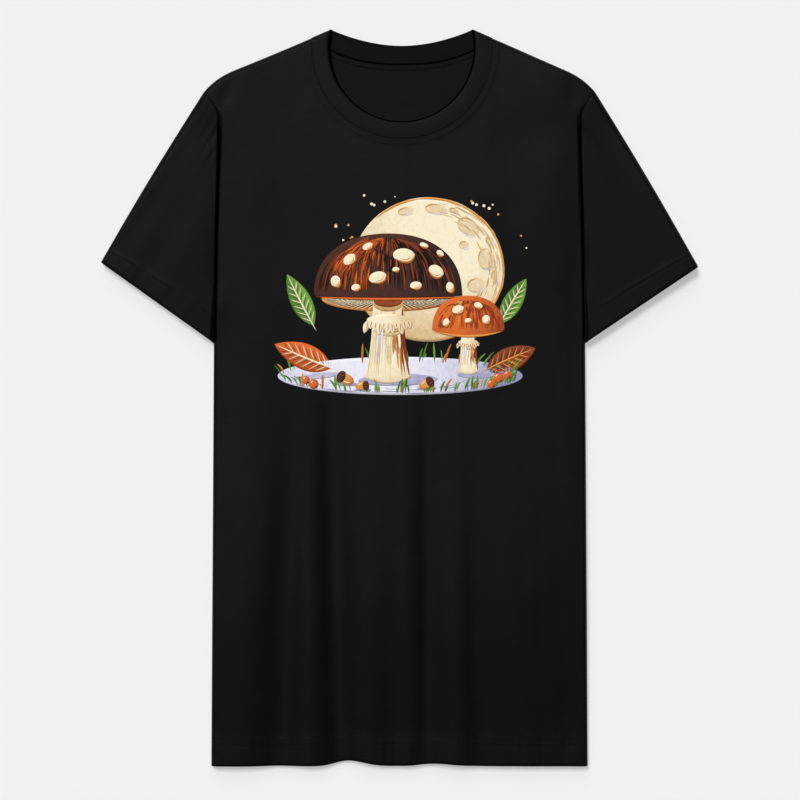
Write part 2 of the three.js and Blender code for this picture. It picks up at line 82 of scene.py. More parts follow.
def lerp(a: float, b: float, t: float) -> float:
    """Return the value at share t of the way from a to b."""
    return a + (b - a) * t


def clamp01(t: float) -> float:
    """Return t held between 0 and 1."""
    return min(1.0, max(0.0, t))


def smooth(a: float, b: float, x: float) -> float:
    """Return 0 at a, 1 at b and an even S curve between."""
    t = clamp01((x - a) / (b - a))
    return t * t * (3 - 2 * t)


def bell(d: float, left: float, right: float) -> float:
    """Return a bell of height 1 at d = 0, of the half width given for its side."""
    return math.exp(-((d / (left if d < 0 else right)) ** 2))


def quarter_round(d: float, radius: float) -> float:
    """Return a quarter circle's rise: 0 at d = 0 and 1 from d = radius on."""
    return math.sqrt(max(0.0, 1 - (1 - clamp01(d / radius)) ** 2))


def spread(start: float, end: float, step: float) -> list[float]:
    """Return even values from start to end, about a step apart.

    Args:
        start: The first value.
        end: The last value.
        step: The wanted distance between two values.

    Returns:
        The values, both ends included.
    """
    count = max(1, round(abs(end - start) / step))
    return [lerp(start, end, i / count) for i in range(count + 1)]


def join_runs(*runs: Sequence[float]) -> list[float]:
    """Return the runs as one rising list, without the values that two of them share.

    Args:
        runs: The runs, each rising.

    Returns:
        The values, rising.
    """
    values = sorted(value for run in runs for value in run)
    kept = [values[0]]
    for value in values[1:]:
        if value - kept[-1] > 1e-6:
            kept.append(value)
    return kept


# ---------------------------------------------------------------- the shirt's shape


class Side(Enum):
    """The two sides of the shirt, as seen from the front."""

    LEFT = -1
    RIGHT = 1


class Layer(Enum):
    """The two layers of the body as the shirt lies."""

    FRONT = 1
    BACK = -1


@dataclass(frozen=True)
class Fold:
    """A long soft fold that deepens towards the hem."""

    hem_x: float
    top_x: float
    height: float
    left: float
    right: float
    start: float
    full: float
    sharp: float = 2.0

    def lift(self, x: float, y: float, hem: float) -> float:
        """Return how far the fold lifts the cloth at (x, y), for a hem line at the height `hem`.

        Args:
            x: Across, in mm.
            y: Up, in mm.
            hem: Height of the hem line, in mm.

        Returns:
            The lift in mm.
        """
        centre = lerp(self.hem_x, self.top_x, clamp01((y - hem) / (self.start - hem)))
        away = x - centre
        crease = math.exp(-(abs(away / (self.left if away < 0 else self.right)) ** self.sharp))
        return self.height * crease * smooth(self.start, self.full, y)


@dataclass(frozen=True)
class Swell:
    """A shallow swell or hollow of the cloth, turned by an angle in radians."""

    x: float
    y: float
    rx: float
    ry: float
    height: float
    turn: float = 0.0

    def lift(self, x: float, y: float) -> float:
        """Return how far the swell lifts the cloth at (x, y).

        Args:
            x: Across, in mm.
            y: Up, in mm.

        Returns:
            The lift in mm.
        """
        dx = x - self.x
        dy = y - self.y
        across = dx * math.cos(self.turn) + dy * math.sin(self.turn)
        along = dy * math.cos(self.turn) - dx * math.sin(self.turn)
        return self.height * bell(across, self.rx, self.rx) * bell(along, self.ry, self.ry)


@dataclass(frozen=True)
class Ellipse:
    """One of the two ellipses of the front neckline."""

    half_width: float
    depth: float


@dataclass(frozen=True)
class BackCurve:
    """One of the two curves of the back neckline."""

    dip: float
    power: float


@dataclass(frozen=True)
class Outline:
    """The shirt's outline and seams, seen from above."""

    half_length: float = 368.5
    half_hem: float = 187.5
    half_chest: float = 184.5
    armpit_y: float = 120.0
    shoulder_tip_x: float = 195.8
    sleeve_tip_x: float = 298.0
    left_tip_y: float = 135.5
    right_tip_y: float = 131.0
    sleeve_inner_y: float = 55.0
    shoulder_start: tuple[float, float] = (70.0, 368.1)
    shoulder_slope: float = 0.43
    shoulder_bend_x: float = 160.0
    shoulder_drop: float = 12.8
    shoulder_bend_span: float = 39.5
    neck_x: float = 2.3
    neck_centre_y: float = 350.0
    band_edge: Ellipse = Ellipse(72.5, 74.4)
    band_seam: Ellipse = Ellipse(90.5, 91.5)
    back_edge: BackCurve = BackCurve(15.8, 1.9)
    back_seam: BackCurve = BackCurve(25.0, 2.5)
    hem_rises: tuple[Swell, ...] = (
        Swell(0, 0, 2000, 1, 1.4), Swell(-50, 0, 19.5, 1, 5.2), Swell(37, 0, 24, 1, 2.3)
    )
    seam_gap: float = 0.45
    side_proud: float = 0.2

    def shoulder_y(self, x: float) -> float:
        """Return the height of the shoulder line at x.

        Args:
            x: Across, in mm.

        Returns:
            The height in mm.
        """
        ax = abs(x - self.neck_x * (1 - smooth(95, 190, abs(x))))
        bent = max(0.0, (ax - self.shoulder_bend_x) / self.shoulder_bend_span)
        start_x, start_y = self.shoulder_start
        return start_y - self.shoulder_slope * (ax - start_x) - self.shoulder_drop * bent**3

    @cached_property
    def shoulder_tip_y(self) -> float:
        """Return the height of the point where shoulder, armhole and sleeve meet."""
        return self.shoulder_y(self.shoulder_tip_x)

    @property
    def length(self) -> float:
        """Return the length of the body's sides, from the hem to the shoulder tip."""
        return self.shoulder_tip_y + self.half_length

    def shoulder_distance(self, x: float, y: float) -> float:
        """Return how far (x, y) lies inside the shoulder line."""
        return (self.shoulder_y(x) - y) * math.cos(math.atan(self.shoulder_slope))

    def half_width(self, y: float) -> float:
        """Return half the body's width: at the side seam, and at the armhole above the armpit.

        Args:
            y: Up, in mm.

        Returns:
            The half width in mm.
        """
        if y <= self.armpit_y:
            share = clamp01((y + self.half_length) / (self.armpit_y + self.half_length))
            return lerp(self.half_hem, self.half_chest, share)
        narrow = self.half_chest - 4.5 * smooth(self.armpit_y, 290, y)
        cap = clamp01((y - 280) / (self.shoulder_tip_y - 280)) ** 1.7
        return lerp(narrow, self.shoulder_tip_x, cap)

    def seam_inset(self, y: float) -> float:
        """Return how far each cloth stops short of the armhole seam at height y."""
        lean = math.hypot(1, self.half_width(y) - self.half_width(y - 1))
        return lerp(self.seam_gap * lean, 0.08, smooth(286, 301, y))

    def panel_half_width(self, y: float) -> float:
        """Return half the width of a body panel's middle surface at height y."""
        at_armhole = smooth(self.armpit_y - 20, self.armpit_y, y)
        return self.half_width(y) + lerp(self.side_proud, -self.seam_inset(y), at_armhole)

    def side_distance(self, x: float, y: float) -> float:
        """Return how far (x, y) lies inside the panel's side."""
        return self.panel_half_width(y) - abs(x)

    def hem_y(self, x: float) -> float:
        """Return the height of the hem's edge, which rises where the folds pull it up."""
        rise = sum(s.height * bell(x - s.x, s.rx - 2.5, s.rx + 2.5) for s in self.hem_rises)
        return rise - self.half_length

    def neck_point(self, edge: Ellipse, angle: float) -> tuple[float, float]:
        """Return the point of a front neck ellipse at an angle, 0 at its lowest point."""
        return (
            self.neck_x + edge.half_width * math.sin(angle), self.neck_centre_y - edge.depth * math.cos(angle)
        )

    @cache
    def neck_end(self, edge: Ellipse) -> float:
        """Return the angle at which a front neck ellipse meets the shoulder line.

        Args:
            edge: The neck ellipse.

        Returns:
            The angle in radians.
        """
        low, high = math.pi / 2, math.pi
        for _ in range(40):
            mid = (low + high) / 2
            x, y = self.neck_point(edge, mid)
            if y < self.shoulder_y(x):
                low = mid
            else:
                high = mid
        return low

    def front_neck(self, edge: Ellipse, t: float) -> tuple[float, float]:
        """Return the point of a front neck ellipse at share t, -1 to 1 from shoulder to shoulder."""
        return self.neck_point(edge, t * self.neck_end(edge))

    def back_neck(self, curve: BackCurve, edge: Ellipse, t: float) -> tuple[float, float]:
        """Return the point of a back neck curve at share t, between the ends of a front ellipse."""
        tip_x, tip_y = self.neck_point(edge, self.neck_end(edge))
        return (self.neck_x + (tip_x - self.neck_x) * t, tip_y - curve.dip * (1 - abs(t) ** curve.power))

    def front_seam_distance(self, x: float, y: float) -> float:
        """Return about how far (x, y) lies outside the neckband's seam on the front.

        Args:
            x: Across, in mm.
            y: Up, in mm.

        Returns:
            The distance in mm.
        """
        dx = (x - self.neck_x) / self.band_seam.half_width
        dy = (y - self.neck_centre_y) / self.band_seam.depth
        return (math.hypot(dx, dy) - 1) * self.band_seam.depth

    def back_seam_distance(self, x: float, y: float) -> float:
        """Return about how far (x, y) lies below the neckband's seam on the back.

        Args:
            x: Across, in mm.
            y: Up, in mm.

        Returns:
            The distance in mm.
        """
        tip_x, tip_y = self.neck_point(self.band_seam, self.neck_end(self.band_seam))
        t = min(1.0, abs((x - self.neck_x) / (tip_x - self.neck_x)))
        return tip_y - self.back_seam.dip * (1 - t**self.back_seam.power) - y

    def sleeve_tip_y(self, side: Side) -> float:
        """Return the height of a sleeve's outer corner."""
        return self.left_tip_y if side is Side.LEFT else self.right_tip_y


OUTLINE = Outline()


def wander(x: float, y: float, size_x: float, size_y: float, seed: float) -> float:
    """Return smooth noise about -1 to 1, with features of the given sizes in millimetres."""
    return noise.noise(Vector((x / size_x, y / size_y, seed)))


@dataclass(frozen=True)
class Drape:
    """How the two layers of the body lie: the heights of their middle surfaces over the plan."""

    fold_z: float = 5.9
    shoulder_z: float = 3.4
    armhole_z: float = 3.6
    half_fold: float = 0.42
    side_roll: float = 5.0
    front_roll: float = 3.2
    armhole_roll: float = 3.4
    edge_top: float = 10.8
    dome: float = 1.2
    tilt: float = 0.01
    back_z: float = 0.4
    seam_rise: float = 1.5
    hem_depth: float = 27.0
    edge_drop: float = 2.2
    edge_roll: float = 2.4
    stitch_rows: tuple[float, ...] = (20.6, 26.2)
    neck_rows: tuple[float, ...] = (2.2, 6.4)
    folds: tuple[Fold, ...] = (
        Fold(-120, -101, -5.5, 21, 18, 120, -250, 1.95),
        Fold(-61, -71, -6.8, 15, 22, 120, -170, 1.95),
        Fold(-4, -8, -3.8, 21, 18, -88, -330, 2.0),
        Fold(27, 29, -5.1, 12, 19, 105, -270, 1.9),
        Fold(80, 70, -3.5, 13, 34, 0, -330, 2.0),
        Fold(162, 152, -2.4, 50, 50, -70, -330, 1.9),
        Fold(-160, -145, 3.0, 50, 40, 60, -290, 2.1),
    )
    swells: tuple[Swell, ...] = (
        Swell(0, -210, 400, 140, 4.9),
        Swell(-150, 215, 26, 95, 1.6),
        Swell(150, 205, 26, 90, 0.9),
        Swell(128, 262, 30, 24, -0.7),
        Swell(-172, 304, 8, 15, -0.9, -0.25),
        Swell(172, 304, 8, 15, -0.9, 0.25),
        Swell(-186, 302, 32, 46, 2.4),
        Swell(180, 322, 60, 42, 2.2),
        Swell(-183, 92, 11, 18, 1.2),
        Swell(178, 120, 12, 70, -0.9),
    )

    def front_height(self, x: float, y: float) -> float:
        """Return the middle of the front layer, before it rolls over at the outline.

        Args:
            x: Across, in mm.
            y: Up, in mm.

        Returns:
            The height in mm.
        """
        across = 1 - clamp01(abs(x) / OUTLINE.half_hem) ** 2
        along = lerp(0.15, 1, smooth(365, 190, y))
        z = self.edge_top + self.dome * across * along + self.tilt * x * along
        z += sum(f.lift(x, y, -OUTLINE.half_length) for f in self.folds if y < f.start)
        return z + sum(s.lift(x, y) for s in self.swells if abs(y - s.y) < 2.5 * s.ry + s.rx)

    def ripple(self, x: float, y: float) -> float:
        """Return the fine unevenness of loose jersey: faint ripples and a light crumple.

        The print stiffens the cloth, which lies calmer under it.

        Args:
            x: Across, in mm.
            y: Up, in mm.

        Returns:
            The lift in mm.
        """
        long = wander(x, y, 17, 150, 3.1) * lerp(0.15, 0.3, smooth(180, -200, y))
        loose = long + wander(x, y, 34, 40, 8.7) * 0.18 + wander(x, y, 9, 13, 5.3) * 0.07
        printed = 1 - smooth(0.9, 1.15, math.hypot((x - 2.5) / 140, (y - 102) / 104))
        return loose * (1 - 0.7 * printed)

    def hem_relief(self, x: float, y: float) -> float:
        """Return the relief of a stitched hem: puckers along it and a groove under each row.

        Args:
            x: Across, in mm.
            y: Up, in mm.

        Returns:
            The lift in mm.
        """
        up = y - OUTLINE.hem_y(x)
        in_hem = smooth(self.hem_depth + 9, self.hem_depth - 4, up)
        pucker = wander(x, y, 5.2, 40, 1.9) * 0.3 + wander(x, y, 12, 60, 7.7) * 0.34
        groove = sum(bell(up - row, 0.9, 0.9) for row in self.stitch_rows)
        edge = self.edge_drop * (1 - quarter_round(up, self.edge_roll))
        return in_hem * (0.4 + pucker + 0.03 * (self.hem_depth - up)) - 0.1 * groove - edge

    def neck_relief(self, distance: float) -> float:
        """Return the relief beside the neckband's seam: the ridge of its allowance, and its stitches.

        Args:
            distance: Distance outside the seam, in mm.

        Returns:
            The lift in mm.
        """
        ridge = smooth(-1.5, 0.3, distance) * (1 - smooth(5.6, 8.8, distance))
        rows = sum(bell(distance - row, 0.7, 0.7) for row in self.neck_rows)
        return 0.16 * ridge - 0.05 * rows

    def shoulder_fold(self, x: float) -> float:
        """Return the height of the shoulder fold, which rises to the sleeve's fold at its tip."""
        return lerp(self.shoulder_z, self.fold_z, smooth(130, OUTLINE.shoulder_tip_x, abs(x)))

    def cap_share(self, y: float) -> float:
        """Return 0 where the armhole seam sinks deep between body and sleeve, and 1 at the sleeve's cap."""
        return smooth(262, 288, y)

    def front_edge(self, x: float, y: float) -> float:
        """Return the height of the front layer's edge: the fold's, or the armhole seam's.

        The seam sinks deep between body and sleeve, and comes up level with the cloth at the cap.

        Args:
            x: Across, in mm.
            y: Up, in mm.

        Returns:
            The height in mm.
        """
        above = smooth(OUTLINE.armpit_y, OUTLINE.armpit_y + 30, y)
        seam = lerp(self.armhole_z, self.front_height(x, y) - 0.3, self.cap_share(y))
        return lerp(self.fold_z + self.half_fold, seam, above)

    def front(self, x: float, y: float) -> float:
        """Return the height of the middle of the front layer.

        Args:
            x: Across, in mm.
            y: Up, in mm.

        Returns:
            The height in mm.
        """
        radius = lerp(self.front_roll, self.armhole_roll, smooth(90, 135, y))
        at_side = quarter_round(OUTLINE.side_distance(x, y), radius)
        at_shoulder = quarter_round(OUTLINE.shoulder_distance(x, y), self.side_roll)
        relief = self.ripple(x, y) + self.hem_relief(x, y)
        relief += self.neck_relief(OUTLINE.front_seam_distance(x, y))
        loose = self.front_height(x, y) + relief * at_side * at_shoulder
        inside = lerp(self.front_edge(x, y), loose, at_side)
        return lerp(self.shoulder_fold(x) + self.half_fold, inside, at_shoulder)

    def front_shade(self, x: float, y: float) -> float:
        """Return the shade of the front layer: in the armhole's crease, and under the hem's edge.

        Args:
            x: Across, in mm.
            y: Up, in mm.

        Returns:
            The shade, 0 to 1.
        """
        wide = lerp(3.2, 2.3, smooth(90, 220, y))
        crease = 1 - smooth(wide * 0.5, wide * 1.35, OUTLINE.side_distance(x, y))
        crease *= smooth(OUTLINE.sleeve_inner_y - 4, OUTLINE.sleeve_inner_y + 6, y) * (
            1 - smooth(264, 286, y)
        )
        edge = 1 - smooth(0.4, 1.3, y - OUTLINE.hem_y(x))
        return max(crease, 0.9 * edge)

    def back_shade(self, x: float, y: float) -> float:
        """Return the shade of the back layer: inside the neck, deepest along the neckband's seam.

        Args:
            x: Across, in mm.
            y: Up, in mm.

        Returns:
            The shade, 0 to 1.
        """
        below = OUTLINE.back_seam_distance(x, y)
        seam = 0.5 * (1 - smooth(-0.5, 1.2, below)) * bell(x - OUTLINE.neck_x, 46, 46)
        return 0.2 * (1 - smooth(40, 90, below)) + seam

    def back(self, x: float, y: float) -> float:
        """Return the height of the middle of the back layer, which lies flat but for its edges.

        Args:
            x: Across, in mm.
            y: Up, in mm.

        Returns:
            The height in mm.
        """
        inward = OUTLINE.side_distance(x, y)
        at_armhole = smooth(105, 150, y)
        at_side = lerp(quarter_round(inward, self.side_roll), 1, at_armhole)
        at_shoulder = quarter_round(OUTLINE.shoulder_distance(x, y), self.side_roll)
        seam = self.seam_rise * (1 - quarter_round(inward, self.seam_rise)) * at_armhole
        groove = sum(bell(y - OUTLINE.hem_y(x) - row, 0.9, 0.9) for row in self.stitch_rows)
        crumple = 0.22 * (1 + wander(x, y, 24, 60, 12.3)) + 0.05 * (1 + wander(x, y, 8, 11, 2.3))
        crumple *= smooth(-3, 9, OUTLINE.back_seam_distance(x, y))
        flat = self.back_z + crumple + seam + 0.3 * groove
        inside = lerp(self.fold_z - self.half_fold, flat, at_side)
        return lerp(self.shoulder_fold(x) - self.half_fold, inside, at_shoulder)


DRAPE = Drape()


# ---------------------------------------------------------------- meshes and objects


def add_piece(name: str, bm: bmesh.types.BMesh, wall: float = 0.0) -> bpy.types.Object:
    """Turn a bmesh into an object in the scene, with smooth faces.

    Args:
        name: The piece's name.
        bm: The mesh, in place and in metres. It is freed.
        wall: The thickness given to both sides of the surface together, in millimetres.

    Returns:
        The new object, at the origin.
    """
    mesh = bpy.data.meshes.new(name)
    for face in bm.faces:
        face.smooth = True
    bm.to_mesh(mesh)
    bm.free()
    piece = bpy.data.objects.new(name, mesh)
    bpy.context.scene.collection.objects.link(piece)
    if wall:
        thick = piece.modifiers.new("wall", "SOLIDIFY")
        thick.thickness = wall * MM
        thick.offset = 0
    return piece


@dataclass(frozen=True)
class Corner:
    """One corner of a cloth grid: its place in millimetres, and where it lies on the flat cloth.

    Its shade, 0 to 1, is painted shade: how far its finish is darkened where it lies in a crease or hollow
    that hardly any light gets into.
    """

    place: Vector
    flat: tuple[float, float]
    shade: float = 0.0


def cloth_grid(
    columns: int, rows: int, corner: Callable[[int, int], Corner], ring: bool
) -> bmesh.types.BMesh:
    """Make a grid of faces and put each of its corners in place.

    Args:
        columns: How many corners the grid has across.
        rows: How many corners it has along.
        corner: Gives the corner at a column and a row.
        ring: Whether the last column meets the first and is merged with it.

    Returns:
        The grid in metres, with its UV map in metres of flat cloth and its shade.
    """
    bm = bmesh.new()
    bmesh.ops.create_grid(bm, x_segments=columns - 1, y_segments=rows - 1, size=0.5)
    uv_map = bm.loops.layers.uv.new("cloth")
    shades = bm.verts.layers.float.new("shade")
    spots = {}
    for vert in bm.verts:
        column = round((vert.co.x + 0.5) * (columns - 1))
        row = round((vert.co.y + 0.5) * (rows - 1))
        spots[vert] = corner(column, row)
    for face in bm.faces:
        for loop in face.loops:
            flat = spots[loop.vert].flat
            loop[uv_map].uv = (flat[0] * MM, flat[1] * MM)
    for vert, spot in spots.items():
        vert.co = spot.place * MM
        vert[shades] = clamp01(spot.shade)
    if ring:
        bmesh.ops.remove_doubles(bm, verts=bm.verts[:], dist=1e-6)
    return bm


def hem_turn(depth: float, apart: float) -> list[tuple[float, float]]:
    """Return the path of cloth through a hem, from the raw edge inside to the fold.

    Args:
        depth: How deep the hem is turned up.
        apart: How far the middles of its two layers lie apart.

    Returns:
        Pairs of how far up from the fold and how far inside the outer layer each corner lies.
    """
    half = apart / 2
    inside = [(up, apart) for up in reversed(spread(half, depth, 3.4))]
    turn = [(half - half * math.sin(a), half + half * math.cos(a)) for a in spread(0, math.pi, math.pi / 5)]
    return inside + turn[1:]


# ---------------------------------------------------------------- the body


Point = tuple[float, float]
Curve = Callable[[float], Point]


@dataclass(frozen=True)
class Patch:
    """A Coons patch: the plan between four edge curves that share their corners."""

    bottom: Curve
    top: Curve
    left: Curve
    right: Curve
    side_reach: float = 1.0
    seen: dict[tuple[int, float], Point] = field(default_factory=dict)

    def edge(self, which: int, at: float) -> Point:
        """Return a point of the bottom, top, left or right edge, worked out once.

        Args:
            which: 0 to 3: bottom, top, left, right.
            at: Share along that edge.

        Returns:
            The point (x, y) in mm.
        """
        if (which, at) not in self.seen:
            self.seen[which, at] = (self.bottom, self.top, self.left, self.right)[which](at)
        return self.seen[which, at]

    def point(self, s: float, t: float) -> Point:
        """Return the point at share s across and t along.

        Args:
            s: Share across, 0 to 1.
            t: Share along, 0 to 1.

        Returns:
            The point (x, y) in mm.
        """
        low, high = self.edge(0, s), self.edge(1, s)
        if self.side_reach == 1.0:
            from_left, from_right = 1 - s, s
        else:
            from_left = max(0.0, 1 - 2 * s) ** self.side_reach
            from_right = max(0.0, 2 * s - 1) ** self.side_reach
        found = []
        for axis in (0, 1):
            value = lerp(low[axis], high[axis], t)
            for share, which, at in ((from_left, 2, 0.0), (from_right, 3, 1.0)):
                if share > 1e-9:
                    ruled = lerp(self.edge(0, at)[axis], self.edge(1, at)[axis], t)
                    value += share * (self.edge(which, t)[axis] - ruled)
            found.append(value)
        return found[0], found[1]


@dataclass(frozen=True)
class BodyPanel:
    """The front or the back of the body, with its hem turned up inside."""

    layer: Layer
    cloth: float = 0.75
    hem_apart: float = 1.05
    neck_share: float = 0.63
    neck_gap: float = 0.12
    front_under: float = 0.3
    under_band: float = 2.4
    column_step: float = 2.15
    row_step: float = 3.7
    neck_spread: float = 16.0

    @property
    def name(self) -> str:
        """Return the piece's name."""
        return "front_jersey" if self.layer is Layer.FRONT else "back_jersey"

    def neck(self, t: float) -> Point:
        """Return the point of the panel's neckline at share t, -1 to 1.

        Args:
            t: Share along, -1 to 1.

        Returns:
            The point (x, y) in mm.
        """
        if self.layer is Layer.FRONT:
            seam = OUTLINE.band_seam
            wide = Ellipse(seam.half_width - self.front_under, seam.depth - self.front_under)
            return OUTLINE.neck_point(wide, t * OUTLINE.neck_end(seam))
        x, y = OUTLINE.back_neck(OUTLINE.back_seam, OUTLINE.band_seam, t)
        return x + t * self.neck_gap, y + self.under_band * (1 - t**4)

    def top(self, s: float) -> Point:
        """Return the point at share s along the two shoulders and the neckline between them.

        Args:
            s: Share across, 0 to 1.

        Returns:
            The point (x, y) in mm.
        """
        across = 2 * s - 1
        if abs(across) <= self.neck_share:
            return self.neck(across / self.neck_share)
        sign = math.copysign(1, across)
        start_x, start_y = self.neck(sign)
        t = (abs(across) - self.neck_share) / (1 - self.neck_share)
        tip_x = OUTLINE.panel_half_width(OUTLINE.shoulder_tip_y)
        x = lerp(start_x, sign * tip_x, t)
        meeting = start_y - OUTLINE.shoulder_y(start_x)
        tip = OUTLINE.shoulder_tip_y - OUTLINE.shoulder_y(tip_x)
        return x, OUTLINE.shoulder_y(x) + meeting * (1 - t) + tip * t

    def bottom(self, s: float) -> Point:
        """Return the point at share s along the hem's fold.

        Args:
            s: Share across, 0 to 1.

        Returns:
            The point (x, y) in mm.
        """
        wide = OUTLINE.panel_half_width(-OUTLINE.half_length)
        x = lerp(-wide, wide, s)
        return x, OUTLINE.hem_y(x)

    def side(self, sign: float, t: float) -> Point:
        """Return the point at share t along a side."""
        y = lerp(OUTLINE.hem_y(OUTLINE.half_hem), OUTLINE.shoulder_tip_y, t)
        return sign * OUTLINE.panel_half_width(y), y

    def plan(self) -> Patch:
        """Return the panel's outline as a patch."""
        return Patch(
            self.bottom, self.top, lambda t: self.side(-1, t), lambda t: self.side(1, t), side_reach=8.0
        )

    def point(self, plan: Patch, s: float, t: float) -> Point:
        """Return the plan's point at shares (s, t), with the columns beside the neck spread outwards.

        Args:
            plan: The panel's plan.
            s: Share across, 0 to 1.
            t: Share along, 0 to 1.

        Returns:
            The point (x, y) in mm.
        """
        x, y = plan.point(s, t)
        across = abs(2 * s - 1)
        if across <= self.neck_share:
            beside = (across / self.neck_share) ** 6
        else:
            beside = (1 - across) / (1 - self.neck_share)
        down = (1 - t) * OUTLINE.length
        shift = self.neck_spread * beside * (1 - math.exp(-down / 15)) * math.exp(-down / 250)
        return x + math.copysign(shift, 2 * s - 1), y

    def across_shares(self) -> list[float]:
        """Return the columns as shares across, close together where the cloth rolls over.

        Returns:
            The shares, rising.
        """
        half_angle = spread(0, math.pi / 2, math.pi / 12)
        rolled = [1 - 0.027 * (1 - math.cos(a)) for a in half_angle]
        neck = spread(-1, 1, self.column_step / 118)
        neck = [t for t in neck if abs(t) < 0.955]
        neck_roll = [1 - 0.05 * (1 - math.cos(a)) for a in half_angle]
        inner = join_runs(neck, neck_roll, [-t for t in neck_roll])
        beside = spread(self.neck_share, 0.972, self.column_step * 0.85 / OUTLINE.half_hem)
        outer = join_runs(beside, rolled)
        across = join_runs([t * self.neck_share for t in inner], outer, [-t for t in outer])
        return [(t + 1) / 2 for t in across]

    def levels(self) -> list[tuple[float, float]]:
        """Return the rows as pairs of how far up the panel and how far inside it they lie.

        Returns:
            The pairs, in order.
        """
        length = OUTLINE.length
        near = [5 * (1 - math.cos(a)) for a in spread(0, math.pi / 2, math.pi / 10)]
        top = [length - d for d in near] + [length - d for d in spread(5.0, 10.0, 1.0)]
        rows = [row + off for row in DRAPE.stitch_rows for off in (-1.0, 0.0, 1.0)]
        hem = join_runs([0.7, 1.1, 1.7, 2.4], spread(4.0, 19.0, 2.4))
        body = spread(29.5, length - 10.0, self.row_step)
        outer = join_runs(hem, rows, body, top)
        return hem_turn(DRAPE.hem_depth, self.hem_apart) + [(up, 0.0) for up in outer]

    def height(self, x: float, y: float) -> float:
        """Return the height of the panel's middle surface."""
        return DRAPE.front(x, y) if self.layer is Layer.FRONT else DRAPE.back(x, y)

    def place(self, x: float, y: float, inside: float) -> Vector:
        """Return the point over (x, y) on the panel, or as far inside it as asked.

        Args:
            x: Across, in mm.
            y: Up, in mm.
            inside: Depth inside the middle surface, in mm.

        Returns:
            The point in mm.
        """
        z = self.height(x, y)
        if not inside:
            return Vector((x, y, z))
        step = 0.3
        slope_x = (self.height(x + step, y) - z) / step if x < 0 else (z - self.height(x - step, y)) / step
        inwards = Vector((slope_x, 0, -1)).normalized() * (inside * self.layer.value)
        return Vector((x, y, z)) + inwards

    def build(self) -> bpy.types.Object:
        """Build the panel.

        Returns:
            The piece.
        """
        shares, levels, plan = self.across_shares(), self.levels(), self.plan()
        length = OUTLINE.length
        turn = self.layer is Layer.BACK

        def corner(column: int, row: int) -> Corner:
            """Return one corner of the panel's grid.

            Args:
                column: The column.
                row: The row.

            Returns:
                The corner of the grid.
            """
            up, inside = levels[row]
            share = shares[-1 - column] if turn else shares[column]
            x, y = self.point(plan, share, up / length)
            shade = DRAPE.back_shade(x, y) if turn else DRAPE.front_shade(x, y)
            return Corner(self.place(x, y, inside), (x, y if not inside else -y), shade)

        return add_piece(self.name, cloth_grid(len(shares), len(levels), corner, False), self.cloth)


